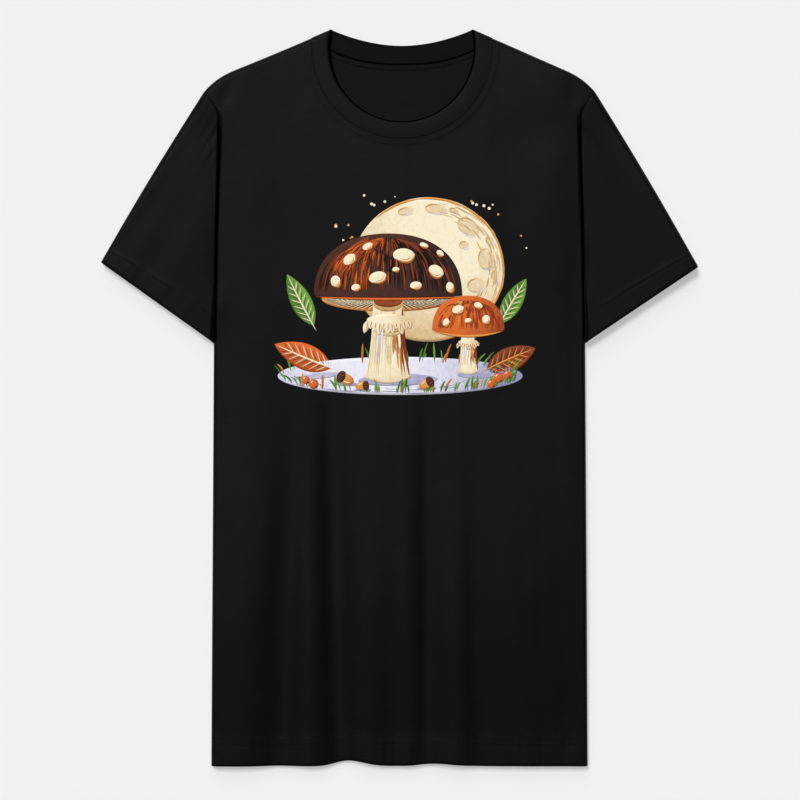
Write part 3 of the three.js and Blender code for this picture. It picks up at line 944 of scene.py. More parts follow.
@dataclass(frozen=True)
class Sleeve:
    """One short sleeve, a flattened tube with its hem turned up inside."""

    side: Side
    cloth: float = 0.75
    hem_apart: float = 1.05
    length: float = 192.0
    width: float = 150.0
    swell: float = 2.6
    cap_rise: float = 0.6
    lean: float = 0.02
    hem_depth: float = 21.0
    hem_rise: float = 11.0
    outer_roll: float = 3.8
    underarm_roll: float = 6.5
    underarm_z: float = 1.35
    underarm_tuck: float = 0.1
    hem_rows: tuple[float, ...] = (13.2, 17.6)

    @property
    def name(self) -> str:
        """Return the piece's name."""
        return f"sleeve_jersey_{self.side.name.lower()}"

    def outer(self, t: float) -> Point:
        """Return the point at share t along the outer fold, from the shoulder to the hem.

        Args:
            t: Share from the shoulder to the hem.

        Returns:
            The point (x, y) in mm.
        """
        tip_y = OUTLINE.shoulder_tip_y
        start = OUTLINE.shoulder_tip_x + OUTLINE.seam_inset(tip_y)
        bow = 1.2 * math.sin(math.pi * t)
        x = lerp(start, OUTLINE.sleeve_tip_x, t) + bow
        return x, lerp(tip_y, OUTLINE.sleeve_tip_y(self.side), t) + 0.6 * bow

    def underarm(self, t: float) -> Point:
        """Return the point at share t along the underarm fold."""
        y = lerp(OUTLINE.armpit_y, OUTLINE.sleeve_inner_y, t)
        return OUTLINE.half_width(y) + lerp(OUTLINE.seam_gap, -self.underarm_tuck, smooth(0, 0.2, t)), y

    def armhole(self, s: float) -> Point:
        """Return the point at share s along the armhole, from the shoulder to the armpit."""
        y = lerp(OUTLINE.shoulder_tip_y, OUTLINE.armpit_y, s)
        return OUTLINE.half_width(y) + OUTLINE.seam_inset(y), y

    def hem(self, s: float) -> Point:
        """Return the point at share s along the hem's fold."""
        (x0, y0), (x1, y1) = self.outer(1), self.underarm(1)
        return lerp(x0, x1, s), lerp(y0, y1, s)

    def true_share(self, s: float) -> float:
        """Return how long a millimetre of the sleeve's outer edge comes out at share s across."""
        return lerp(1.02, 0.34, s)

    def relief(self, x: float, y: float, s: float, down: float) -> float:
        """Return the small relief of the top: ripples, puckers under the cap, and the hem's.

        Args:
            x: The place across the shirt, from its middle.
            y: The place along the shirt.
            s: The share from the outer fold to the underarm.
            down: How far down the sleeve from the armhole.

        Returns:
            The height to add, in millimetres.
        """
        seed = 3.0 * self.side.value
        lean = x * 0.86 + y * 0.5
        soft = wander(lean, y, 22, 70, 4.0 + seed) * 0.55 + wander(x, y, 40, 40, 9.0 + seed) * 0.4
        gather = wander(x + 0.55 * y, y, 5.2, 60, 6.0 + seed) * smooth(46, 8, down) * smooth(0.42, 0.1, s)
        up = (self.length - down) * self.true_share(s)
        rise = self.hem_rise * s
        in_hem = smooth(self.hem_rows[-1] + rise + 3, self.hem_rows[-1] + rise - 2, up)
        pucker = wander(lean, y, 7.0, 40, 2.2 + seed) * 0.3
        rows = sum(bell(up - row - rise, 1.1, 1.1) for row in self.hem_rows)
        edge = DRAPE.edge_drop * (1 - quarter_round(up, DRAPE.edge_roll))
        return soft + 0.7 * gather + in_hem * (0.35 + pucker) - 0.14 * rows - edge

    def height(self, s: float, t: float, x: float, y: float, front: bool) -> float:
        """Return the height of the sleeve's middle surface over (x, y), at shares s and t.

        Args:
            s: Share across, 0 to 1.
            t: Share along, 0 to 1.
            x: Across, in mm.
            y: Up, in mm.
            front: Whether it is on the front layer.

        Returns:
            The height in mm.
        """
        roll = self.outer_roll if s < 0.5 else lerp(self.outer_roll, self.underarm_roll, smooth(0, 0.2, t))
        fold_z = DRAPE.fold_z if s < 0.5 else lerp(DRAPE.fold_z, self.underarm_z, smooth(0, 0.2, t))
        at_fold = quarter_round(min(s, 1 - s) * self.width, roll)
        armhole_y = lerp(OUTLINE.shoulder_tip_y, OUTLINE.armpit_y, s)
        down = t * self.length
        if front:
            swell = self.swell * s**1.6 * smooth(-0.15, 0.6, t) + self.cap_rise * bell(down, 24, 24)
            swell += self.lean * (x - OUTLINE.half_chest)
            seam_x = self.side.value * OUTLINE.half_width(armhole_y)
            lift = DRAPE.front_height(seam_x, armhole_y) - DRAPE.edge_top
            swell += lift * DRAPE.cap_share(armhole_y) * bell(down, 26, 26)
            loose = DRAPE.edge_top - 0.5 + swell + self.relief(x, y, s, down) * at_fold
            flat = lerp(DRAPE.front_edge(seam_x, armhole_y), loose, quarter_round(down, DRAPE.armhole_roll))
        else:
            rise = DRAPE.seam_rise * (1 - quarter_round(down, DRAPE.seam_rise))
            flat = DRAPE.back_z + rise + 0.22 * (1 + wander(x, y, 30, 44, 5.5))
        return lerp(fold_z, flat, at_fold)

    def shade(self, s: float, down: float) -> float:
        """Return the shade of the top: in the armhole's crease, and under the hem's edge.

        Args:
            s: Share across, 0 to 1.
            down: Distance from the armhole, in mm.

        Returns:
            The shade, 0 to 1.
        """
        crease = (1 - smooth(0.9, 2.6, down)) * smooth(0.05, 0.17, s)
        beside = 1 - smooth(0.8, 3.0, (1 - s) * self.width)
        edge = 0.9 * (1 - smooth(0.4, 1.3, (self.length - down) * self.true_share(s)))
        return max(crease, beside, edge)

    def levels(self) -> list[tuple[float, float]]:
        """Return the rows as pairs of how far down the sleeve and how far inside it they lie.

        Returns:
            The pairs, in order.
        """
        near = [4 * (1 - math.cos(a)) for a in spread(0, math.pi / 2, math.pi / 10)]
        edge = [self.length - d for d in (2.4, 1.7, 1.1, 0.7)]
        outer = join_runs(
            near, spread(4.0, self.length - 32, 2.8), spread(self.length - 31, self.length - 4, 1.35), edge
        )
        hem = [
            (self.length - up, inside) for up, inside in reversed(hem_turn(self.hem_depth, self.hem_apart))
        ]
        return [(down, 0.0) for down in outer] + hem

    def shares(self) -> list[float]:
        """Return the shares round half of the tube, close together at its two folds.

        Returns:
            The shares, rising.
        """
        quarter = spread(0, math.pi / 2, math.pi / 14)
        outer = [self.outer_roll / self.width * (1 - math.cos(a)) for a in quarter]
        inner = [1 - self.underarm_roll / self.width * (1 - math.cos(a)) for a in quarter]
        return join_runs(outer, spread(outer[-1], inner[-1], 0.0155), inner)

    def build(self) -> bpy.types.Object:
        """Build the sleeve.

        Returns:
            The piece.
        """
        plan = Patch(self.armhole, self.hem, self.outer, self.underarm)
        shares, levels = self.shares(), self.levels()
        loop = [(s, True) for s in shares] + [(s, False) for s in reversed(shares[:-1])]
        if self.side is Side.RIGHT:
            loop.reverse()

        def corner(column: int, row: int) -> Corner:
            """Return one corner of the sleeve's grid.

            Args:
                column: The column.
                row: The row.

            Returns:
                The corner of the grid.
            """
            s, front = loop[column]
            down, inside = levels[row]
            t = down / self.length
            x, y = plan.point(s, t)
            place = Vector((x, y, self.height(s, t, x, y, front)))
            if inside:
                at_fold = math.acos(clamp01(min(s, 1 - s) * self.width / 5.0))
                sideways = math.sin(at_fold) * (1 if s < 0.5 else -1)
                upright = math.cos(at_fold) * (1 if front else -1)
                place -= Vector((sideways, 0, upright)) * inside
            place.x *= self.side.value
            flat = (s if front else 2 - s) * self.width
            shade = 0.0 if inside or not front else self.shade(s, down)
            return Corner(place, (flat, down if not inside else -down), shade)

        return add_piece(self.name, cloth_grid(len(loop), len(levels), corner, True), self.cloth)


@dataclass(frozen=True)
class ArmholeSeam:
    """The overlocked seam allowance inside one armhole: a ring of cloth folded into the sleeve."""

    side: Side
    thick: float = 1.1
    inside: float = 1.3
    outside: float = 5.6
    end_gap: float = 2.6

    def build(self) -> bpy.types.Object:
        """Build the ring.

        Returns:
            The piece.
        """
        shares = spread(0, 1, 0.02)
        loop = [(s, True) for s in shares] + [(s, False) for s in reversed(shares[:-1])]
        if self.side is Side.RIGHT:
            loop.reverse()
        widths = spread(-self.inside, self.outside, 1.15)

        def corner(column: int, row: int) -> Corner:
            """Return one corner of the ring's grid.

            Args:
                column: The column.
                row: The row.

            Returns:
                The corner of the grid.
            """
            s, front = loop[column]
            y = lerp(OUTLINE.shoulder_tip_y - self.end_gap, OUTLINE.armpit_y + self.end_gap, s)
            at_fold = quarter_round(min(s, 1 - s) * 180, 6.0)
            under = DRAPE.front_edge(self.side.value * OUTLINE.half_width(y), y) - 0.9
            over = DRAPE.back_z + DRAPE.seam_rise + 1.0
            z = lerp((under + over) / 2, under if front else over, at_fold)
            x = OUTLINE.half_width(y) + widths[row] * smooth(-0.02, 0.12, s)
            # Full painted shade on every corner: the ring lies at the bottom of the armhole's crease.
            return Corner(Vector((x * self.side.value, y, z)), (s * 180, widths[row]), 1.0)

        bm = cloth_grid(len(loop), len(widths), corner, True)
        return add_piece(f"armhole_seam_{self.side.name.lower()}", bm, self.thick)


# ---------------------------------------------------------------- the neck


@dataclass(frozen=True)
class Neckband:
    """The ribbed neckband: a strip of rib folded in half and sewn into the neckline as a ring."""

    cloth: float = 0.9
    apart: float = 1.0
    rib_pitch: float = 2.2
    rib_height: float = 0.16
    back_z: float = 2.0
    edge_drop: float = 5.0
    edge_roll: float = 2.6
    ring_length: float = 462.0
    shaded_edge: float = 0.11
    back_shade: float = 0.3

    def half_ring(self, t: float, w: float, front: bool) -> Point:
        """Return the point at share t from shoulder to shoulder and w from the edge to the seam.

        Args:
            t: Share along, 0 to 1.
            w: Share from the band's free edge to its seam.
            front: Whether it is on the front layer.

        Returns:
            The point (x, y) in mm.
        """
        if front:
            x0, y0 = OUTLINE.front_neck(OUTLINE.band_edge, t)
            x1, y1 = OUTLINE.front_neck(OUTLINE.band_seam, t)
        else:
            x0, y0 = OUTLINE.back_neck(OUTLINE.back_edge, OUTLINE.band_edge, t)
            x1, y1 = OUTLINE.back_neck(OUTLINE.back_seam, OUTLINE.band_seam, t)
        return lerp(x0, x1, w), lerp(y0, y1, w)

    def middle(self, t: float, w: float, front: bool) -> Vector:
        """Return the point midway between the band's two layers.

        Args:
            t: Share along, 0 to 1.
            w: Share from the band's free edge to its seam.
            front: Whether it is on the front layer.

        Returns:
            The point in mm.
        """
        x, y = self.half_ring(t, w, front)
        at_fold = quarter_round(OUTLINE.shoulder_distance(x, y), DRAPE.side_roll)
        if front:
            soft = DRAPE.ripple(x, y) * 0.4
            drop = self.edge_drop * (1 - quarter_round(w * 17.5, self.edge_roll))
            flat = DRAPE.front_height(x, y) + soft - drop - 0.2 * smooth(0.55, 1, w)
        else:
            flat = self.back_z
        return Vector((x, y, lerp(DRAPE.shoulder_fold(x), flat, at_fold)))

    def profile(self) -> list[tuple[float, float]]:
        """Return the folded strip's cross-section as pairs of share and side, 1 outside and -1 inside.

        Returns:
            The pairs, in order round the strip.
        """
        turn = [(0.03 - 0.03 * math.sin(a), math.cos(a)) for a in spread(0, math.pi, math.pi / 6)]
        along = [0.985, 0.955, 0.9, 0.78, 0.64, 0.5, 0.36, 0.22, 0.15, 0.11, 0.08, 0.055, 0.04]
        outside = [(1.0, 0.5)] + [(w, 1.0) for w in along]
        return outside + turn + [(w, -side) for w, side in reversed(outside)]

    def build(self) -> bpy.types.Object:
        """Build the band, with its ribs running from the edge to the seam.

        Returns:
            The piece.
        """
        ribs = round(self.ring_length / self.rib_pitch)
        columns = ribs * 4
        front_columns = round(columns * 0.6)
        half = [(t, True) for t in spread(-1, 1, 2 / front_columns)]
        back = [(t, False) for t in reversed(spread(-1, 1, 2 / (columns - front_columns)))]
        ring = half + back[1:]
        profile = self.profile()
        steps = len(ring)
        middles: dict[tuple[int, float], Vector] = {}

        def middle(column: int, w: float) -> Vector:
            """Return the middle of the strip over a column, at share w.

            Args:
                column: The column.
                w: Share from the band's free edge to its seam.

            Returns:
                The point in mm.
            """
            key = (column % (steps - 1), w)
            if key not in middles:
                t, front = ring[key[0]]
                middles[key] = self.middle(t, w, front)
            return middles[key]

        def corner(column: int, row: int) -> Corner:
            """Return one corner of the band's grid.

            Args:
                column: The column.
                row: The row.

            Returns:
                The corner of the grid.
            """
            w, side = profile[row]
            at = middle(column, w)
            along = middle(column + 1, w) - middle(column - 1, w)
            across = middle(column, min(1.0, w + 0.05)) - middle(column, max(0.0, w - 0.05))
            out = along.cross(across).normalized() * -1
            rib = self.rib_height * math.cos(2 * math.pi * column / 4) * (1 - smooth(0.93, 1, w))
            half_apart = self.apart / 2
            place = at + out * (side * half_apart + math.copysign(rib, side) * abs(side))
            # Painted shade: the front band's turned edge fades to black over the gap below it, and the back
            # band is evenly darkened.
            dark = 1 - smooth(self.shaded_edge * 0.6, self.shaded_edge, w)
            shade = dark if ring[column][1] else self.back_shade
            return Corner(place, (column * self.ring_length / (steps - 1), row * 1.9), shade)

        bm = cloth_grid(steps, len(profile), corner, True)
        bmesh.ops.recalc_face_normals(bm, faces=bm.faces[:])
        return add_piece("neckband_rib", bm, self.cloth)


@dataclass(frozen=True)
class NeckTape:
    """The narrow twill tape sewn over the seam inside the back neck."""

    width: float = 6.4
    thick: float = 0.24
    proud: float = 0.44
    reach: float = 0.86
    below_seam: float = 0.6

    def build(self) -> bpy.types.Object:
        """Build the tape, which lies on the back panel.

        Returns:
            The piece.
        """
        shares = spread(-self.reach, self.reach, 0.02)
        rows = spread(0, self.width, 0.7)

        def corner(column: int, row: int) -> Corner:
            """Return one corner of the tape's grid.

            Args:
                column: The column.
                row: The row.

            Returns:
                The corner of the grid.
            """
            x, y = OUTLINE.back_neck(OUTLINE.back_seam, OUTLINE.band_seam, shares[column])
            y -= self.below_seam + rows[-1 - row]
            sunk = 0.2 * (1 - smooth(0, 2.2, min(rows[row], self.width - rows[row])))
            return Corner(Vector((x, y, DRAPE.back(x, y) + self.proud - sunk)), (x, rows[row]), 0.3)

        return add_piece("neck_tape_twill", cloth_grid(len(shares), len(rows), corner, False), self.thick)


# ---------------------------------------------------------------- stitches


@dataclass(frozen=True)
class Stitches:
    """Rows of machine stitches, each stitch a small lengthened bead of thread."""

    name: str
    slot: str
    pitch: float = 3.2
    long: float = 2.5
    wide: float = 0.5
    high: float = 0.3

    def build(self, rows: Sequence[Sequence[Vector]]) -> bpy.types.Object:
        """Lay stitches along rows of points.

        Args:
            rows: The points that each row follows, in millimetres.

        Returns:
            One piece with all the stitches.
        """
        bm = bmesh.new()
        for row in rows:
            due = self.pitch / 2
            for a, b in zip(row, row[1:]):
                step = (b - a).length
                while due <= step:
                    middle = a.lerp(b, due / step)
                    along = (b - a).normalized()
                    across = along.cross(Vector((0, 0, 1))).normalized()
                    up = across.cross(along)
                    turn = Matrix((along * self.long, across * self.wide, up * self.high)).transposed()
                    place = Matrix.Translation(middle * MM) @ (turn * (MM / 2)).to_4x4()
                    bmesh.ops.create_icosphere(bm, subdivisions=1, radius=1.0, matrix=place)
                    due += self.pitch
                due -= step
        return add_piece(self.name, bm)


@dataclass(frozen=True)
class SeamRows:
    """Where the rows of machine stitches run on the shirt, just proud of the cloth."""

    proud: float = 0.36

    def body_hem(self, layer: Layer) -> list[list[Vector]]:
        """Return the twin rows along the hem of one layer of the body.

        Args:
            layer: The front or the back.

        Returns:
            The rows of stitches.
        """
        rows = []
        for up in DRAPE.stitch_rows:
            row = []
            for x in spread(-184, 184, 1.6):
                y = OUTLINE.hem_y(x) + up
                if layer is Layer.FRONT:
                    row.append(Vector((x, y, DRAPE.front(x, y) + self.proud)))
                else:
                    row.append(Vector((x, y, DRAPE.back(x, y) - 0.2)))
            rows.append(row)
        return rows

    def sleeve_hem(self, sleeve: Sleeve) -> list[list[Vector]]:
        """Return the twin rows along a sleeve's hem, on its top.

        Args:
            sleeve: The sleeve.

        Returns:
            The rows of stitches.
        """
        plan = Patch(sleeve.armhole, sleeve.hem, sleeve.outer, sleeve.underarm)
        rows = []
        for up in sleeve.hem_rows:
            row = []
            for s in spread(0.012, 0.96, 0.012):
                t = 1 - (up + sleeve.hem_rise * s) / (sleeve.length * sleeve.true_share(s))
                x, y = plan.point(s, t)
                z = sleeve.height(s, t, x, y, True) + self.proud
                row.append(Vector((x * sleeve.side.value, y, z)))
            rows.append(row)
        return rows

    def neck(self) -> list[list[Vector]]:
        """Return the twin rows outside the neckband's seam on the front.

        Returns:
            The rows of stitches.
        """
        rows = []
        for out in DRAPE.neck_rows:
            seam = OUTLINE.band_seam
            wide = Ellipse(seam.half_width + out, seam.depth + out)
            end = OUTLINE.neck_end(wide) * 0.985
            points = [OUTLINE.neck_point(wide, a) for a in spread(-end, end, 0.02)]
            rows.append([Vector((x, y, DRAPE.front(x, y) + self.proud)) for x, y in points])
        return rows

    def tape(self, tape: NeckTape) -> list[list[Vector]]:
        """Return the rows along both edges of the neck tape.

        Args:
            tape: The tape.

        Returns:
            The rows of stitches.
        """
        rows = []
        for down in (tape.below_seam + 1.2, tape.below_seam + tape.width - 1.2):
            row = []
            for t in spread(-tape.reach * 0.98, tape.reach * 0.98, 0.02):
                x, y = OUTLINE.back_neck(OUTLINE.back_seam, OUTLINE.band_seam, t)
                row.append(Vector((x, y - down, DRAPE.back(x, y - down) + tape.proud + 0.1)))
            rows.append(row)
        return rows


# ---------------------------------------------------------------- the print's shapes


def arc(rx: float, ry: float, start: float, end: float, x: float = 0.0, y: float = 0.0) -> Curve:
    """Return the arc of an ellipse about (x, y), between two angles."""
    return lambda t: (x + rx * math.cos(lerp(start, end, t)), y + ry * math.sin(lerp(start, end, t)))


def bezier(*points: Point) -> Curve:
    """Return a cubic curve from its four control points.

    Args:
        points: The control points.

    Returns:
        The curve.
    """

    def point(t: float) -> Point:
        """Return the point at share t.

        Args:
            t: Share along, 0 to 1.

        Returns:
            The point (x, y) in mm.
        """
        u = 1 - t
        shares = (u**3, 3 * u * u * t, 3 * u * t * t, t**3)
        return tuple(sum(share * p[axis] for share, p in zip(shares, points)) for axis in (0, 1))

    return point


def bend(a: Point, control: Point, c: Point) -> Curve:
    """Return a quadratic curve from a to c."""
    inner = [tuple(lerp(end[axis], control[axis], 2 / 3) for axis in (0, 1)) for end in (a, c)]
    return bezier(a, inner[0], inner[1], c)


def turned(curve: Curve, x: float, y: float, turn: float) -> Curve:
    """Return the curve turned about the origin and moved to (x, y).

    Args:
        curve: The curve.
        x: Across, in mm.
        y: Up, in mm.
        turn: The turn.

    Returns:
        The turned curve.
    """

    def point(t: float) -> Point:
        """Return the point at share t."""
        px, py = curve(t)
        return x + px * math.cos(turn) - py * math.sin(turn), y + px * math.sin(turn) + py * math.cos(turn)

    return point


def between(low: Curve, high: Curve) -> Patch:
    """Return the shape between two curves that share both their ends."""
    return Patch(low, high, lambda t: low(0), lambda t: low(1))


def ellipse(x: float, y: float, rx: float, ry: float, turn: float = 0.0) -> Patch:
    """Return an ellipse."""
    low, high = arc(rx, ry, math.pi, 2 * math.pi), arc(rx, ry, math.pi, 0)
    return between(turned(low, x, y, turn), turned(high, x, y, turn))


def leaf(x: float, y: float, length: float, half: float, turn: float, rib: float = -1.0) -> Patch:
    """Return a pointed leaf that grows from (x, y), or only the part of it from the share `rib` up."""
    edges = [
        bezier((0, 0), (length * 0.25, 1.3 * half * side), (length * 0.7, half * side), (length, 0))
        for side in (rib, 1)
    ]
    return between(turned(edges[0], x, y, turn), turned(edges[1], x, y, turn))


def cap_shape(x: float, y: float, half: float, height: float, rim: float) -> Patch:
    """Return a mushroom's cap: a dome over a rim that hangs in the middle.

    Args:
        x: Across, in mm.
        y: Up, in mm.
        half: Half the width, in mm.
        height: The height, in mm.
        rim: How far the rim hangs, in mm.

    Returns:
        The shape.
    """
    rise = bezier((x - half, y), (x - half, y + 0.75 * height), (x - 0.5 * half, y + height), (x, y + height))
    fall = bezier((x, y + height), (x + 0.5 * half, y + height), (x + half, y + 0.75 * height), (x + half, y))
    low = bend((x - half, y), (x, y - 2 * rim), (x + half, y))
    return between(low, lambda t: rise(2 * t) if t < 0.5 else fall(2 * t - 1))


def stem_shape(x: float, y: float, neck: float, foot: float, length: float) -> Patch:
    """Return a mushroom's stem, which widens to a rounded foot.

    Args:
        x: Across, in mm.
        y: Up, in mm.
        neck: Half the width at the top, in mm.
        foot: Half the width at the foot, in mm.
        length: The length, in mm.

    Returns:
        The shape.
    """
    sides = [
        bend((x + side * foot, y - length), (x + side * neck, y - 0.6 * length), (x + side * neck, y))
        for side in (-1, 1)
    ]
    low = bend((x - foot, y - length), (x, y - length - 0.5 * foot), (x + foot, y - length))
    return Patch(low, lambda t: (x + neck * (2 * t - 1), y), *sides)


def brush(a: Point, b: Point, c: Point, wide: float) -> Patch:
    """Return a brush stroke from a through b to c, pointed at both ends.

    Args:
        a: The start.
        b: The middle.
        c: The end.
        wide: The greatest width, in mm.

    Returns:
        The shape.
    """
    middle = bend(a, (2 * b[0] - (a[0] + c[0]) / 2, 2 * b[1] - (a[1] + c[1]) / 2), c)

    def side(sign: float) -> Curve:
        """Return one edge of the stroke.

        Args:
            sign: 1 or -1, the side of the stroke.

        Returns:
            One edge of the stroke.
        """
        def point(t: float) -> Point:
            """Return the point at share t.

            Args:
                t: Share along, 0 to 1.

            Returns:
                The point (x, y) in mm.
            """
            (x0, y0), (x1, y1) = middle(max(0.0, t - 0.01)), middle(min(1.0, t + 0.01))
            half = sign * wide / 2 * math.sin(math.pi * clamp01(t)) ** 0.7 / (
                math.hypot(x1 - x0, y1 - y0) or 1.0
            )
            x, y = middle(t)
            return x - (y1 - y0) * half, y + (x1 - x0) * half

        return point

    return between(side(-1), side(1))


class Ink(Enum):
    """The inks: the slot of each, its colour in the light, and its deeper shade."""

    CREAM = ("ink_cream", "#f3e8c8", "#c99f5e")
    PALE = ("ink_pale", "#e6e5f0", "#8f8fb4")
    AMBER = ("ink_amber", "#e0964a", "#a4571b")
    ORANGE = ("ink_orange", "#d9671f", "#92340e")
    RUSSET = ("ink_russet", "#97421a", "#54200b")
    BROWN = ("ink_dark_brown", "#45200f", "#140604")
    GREEN = ("ink_green", "#6ea23a", "#2f581a")


@dataclass(frozen=True)
class Mark:
    """One field or brush stroke of ink: its shape, its grid, and how its shade deepens.

    The shade is `deep` at the point `lit`, and deepens to full over the distance `reach`.
    """

    shape: Patch
    columns: int
    rows: int
    deep: float = 0.0
    lit: Point = (0.0, 0.0)
    reach: float = 0.0

    def shade(self, x: float, y: float) -> float:
        """Return the shade at a point of the print.

        Args:
            x: Across, in mm.
            y: Up, in mm.

        Returns:
            The shade, 0 to 1.
        """
        if not self.reach:
            return self.deep
        away = math.hypot(x - self.lit[0], y - self.lit[1]) / self.reach
        return clamp01(self.deep + away * away)


def stroke(a: Point, b: Point, c: Point, wide: float, deep: float = 0.0) -> Mark:
    """Return the mark of a brush stroke."""
    return Mark(brush(a, b, c, wide), 12, 1, deep)


def dot(x: float, y: float, rx: float, ry: float, turn: float = 0.0, deep: float = 0.0) -> Mark:
    """Return the mark of a small ellipse."""
    return Mark(ellipse(x, y, rx, ry, turn), 12, 6, deep)


@dataclass
class Picture:
    """The print on the chest: marks gathered into thin skins of ink that follow the cloth."""

    x: float = 2.5
    y: float = 102.0
    clear: float = 0.48
    skin: float = 0.07
    step: float = 0.085
    skins: dict[tuple[str, Ink, int], list[Mark]] = field(default_factory=dict)
    stands_for: dict[tuple[str, Ink, int], list[str]] = field(default_factory=dict)

    def add(self, motif: str, ink: Ink, level: int, marks: Sequence[Mark], *nodes: str) -> None:
        """Add marks of one ink to a motif, at a level above the cloth."""
        self.skins.setdefault((motif, ink, level), []).extend(marks)
        self.stands_for.setdefault((motif, ink, level), []).extend(nodes)

    def build_skin(self, name: str, marks: Sequence[Mark], level: int) -> bpy.types.Object:
        """Build the marks as one thin skin.

        Args:
            name: The skin's name.
            marks: The marks of one ink.
            level: How many skins lie below it.

        Returns:
            The skin.
        """
        bm = bmesh.new()
        uv_map = bm.loops.layers.uv.new("cloth")
        shades = bm.verts.layers.float.new("shade")
        for index, mark in enumerate(marks):
            grid = bmesh.ops.create_grid(bm, x_segments=mark.columns, y_segments=mark.rows, size=0.5)
            lift = self.clear + self.step * level + 0.0025 * (index % 20)
            for vert in grid["verts"]:
                s, t = (clamp01(round(v + 0.5, 6)) for v in vert.co.xy)
                px, py = mark.shape.point(s, t)
                vert[shades] = mark.shade(px, py)
                x, y = px + self.x, py + self.y
                vert.co = Vector((x, y, DRAPE.front(x, y) + lift)) * MM
        for face in bm.faces:
            for loop in face.loops:
                loop[uv_map].uv = loop.vert.co.xy
        bmesh.ops.remove_doubles(bm, verts=bm.verts[:], dist=1e-7)
        return add_piece(name, bm, self.skin)

    def build(self) -> list[bpy.types.Object]:
        """Build and dress all the skins.

        Returns:
            The skins.
        """
        inks = {ink: InkFinish(ink).make() for ink in Ink}
        pieces = []
        for (motif, ink, level), marks in self.skins.items():
            name = f"{motif}_{ink.name.lower()}_{level}"
            piece = self.build_skin(name, marks, level)
            pieces.append(keep(piece, inks[ink], ink.value[0], *self.stands_for[motif, ink, level]))
        return pieces


# ---------------------------------------------------------------- the print's motifs


@dataclass(frozen=True)
class Moon:
    """A full moon with craters and a shaded limb."""

    x: float = 26.0
    y: float = 26.0
    rx: float = 76.0
    ry: float = 72.0
    craters: tuple[tuple[float, ...], ...] = (
        (66, 68, 12, 8, -0.6), (84, 36, 8, 11, 0.1), (34, 86, 11, 5, -0.1), (74, 10, 9, 7, 0.2),
        (93, 18, 4, 7, 0.0), (4, 84, 8, 4, 0.2), (52, 84, 5, 3, -0.3), (88, 54, 4, 5, 0.4),
        (62, 50, 5, 4, 0.0),
    )

    def limb(self, angle: float, share: float) -> Point:
        """Return the point at an angle and a share of the way from the middle to the edge."""
        return self.x + self.rx * share * math.cos(angle), self.y + self.ry * share * math.sin(angle)

    def paint(self, art: Picture) -> None:
        """Paint the moon.

        Args:
            art: The picture to paint into.
        """
        rng = random.Random(11)
        disc = Mark(ellipse(self.x, self.y, self.rx, self.ry), 50, 40, -0.1, (44.0, 66.0), 120.0)
        art.add("moon", Ink.CREAM, 0, [disc], "print_moon")
        floors = [dot(*crater, deep=0.45) for crater in self.craters]
        art.add("moon", Ink.CREAM, 1, floors)
        rims, shadows = [], []
        for x, y, rx, ry, turn in self.craters:
            edge = [turned(arc(rx, ry, start, start + 2.2), x, y, turn) for start in (-2.0, 1.2)]
            rims.append(stroke(edge[0](0), edge[0](0.5), edge[0](1), 1.3, 0.0))
            shadows.append(stroke(edge[1](0), edge[1](0.5), edge[1](1), 1.7, 0.9))
        for _ in range(90):
            angle, share = rng.uniform(-1.3, 1.4), 1 - 0.26 * rng.random() ** 1.6
            span = rng.uniform(0.05, 0.16)
            points = [self.limb(angle + off, share) for off in (-span, 0, span)]
            shadows.append(stroke(*points, rng.uniform(0.6, 1.7), rng.uniform(0.5, 1.0)))
        art.add("moon", Ink.PALE, 2, rims)
        art.add("moon", Ink.CREAM, 2, shadows)
        glow = [[self.limb(angle + off, 0.985) for off in (-0.35, 0, 0.35)] for angle in (
            -1.0, -0.4, 0.2, 0.8, 1.4, 2.0
        )]
        art.add("moon", Ink.AMBER, 3, [stroke(*points, 2.2) for points in glow])


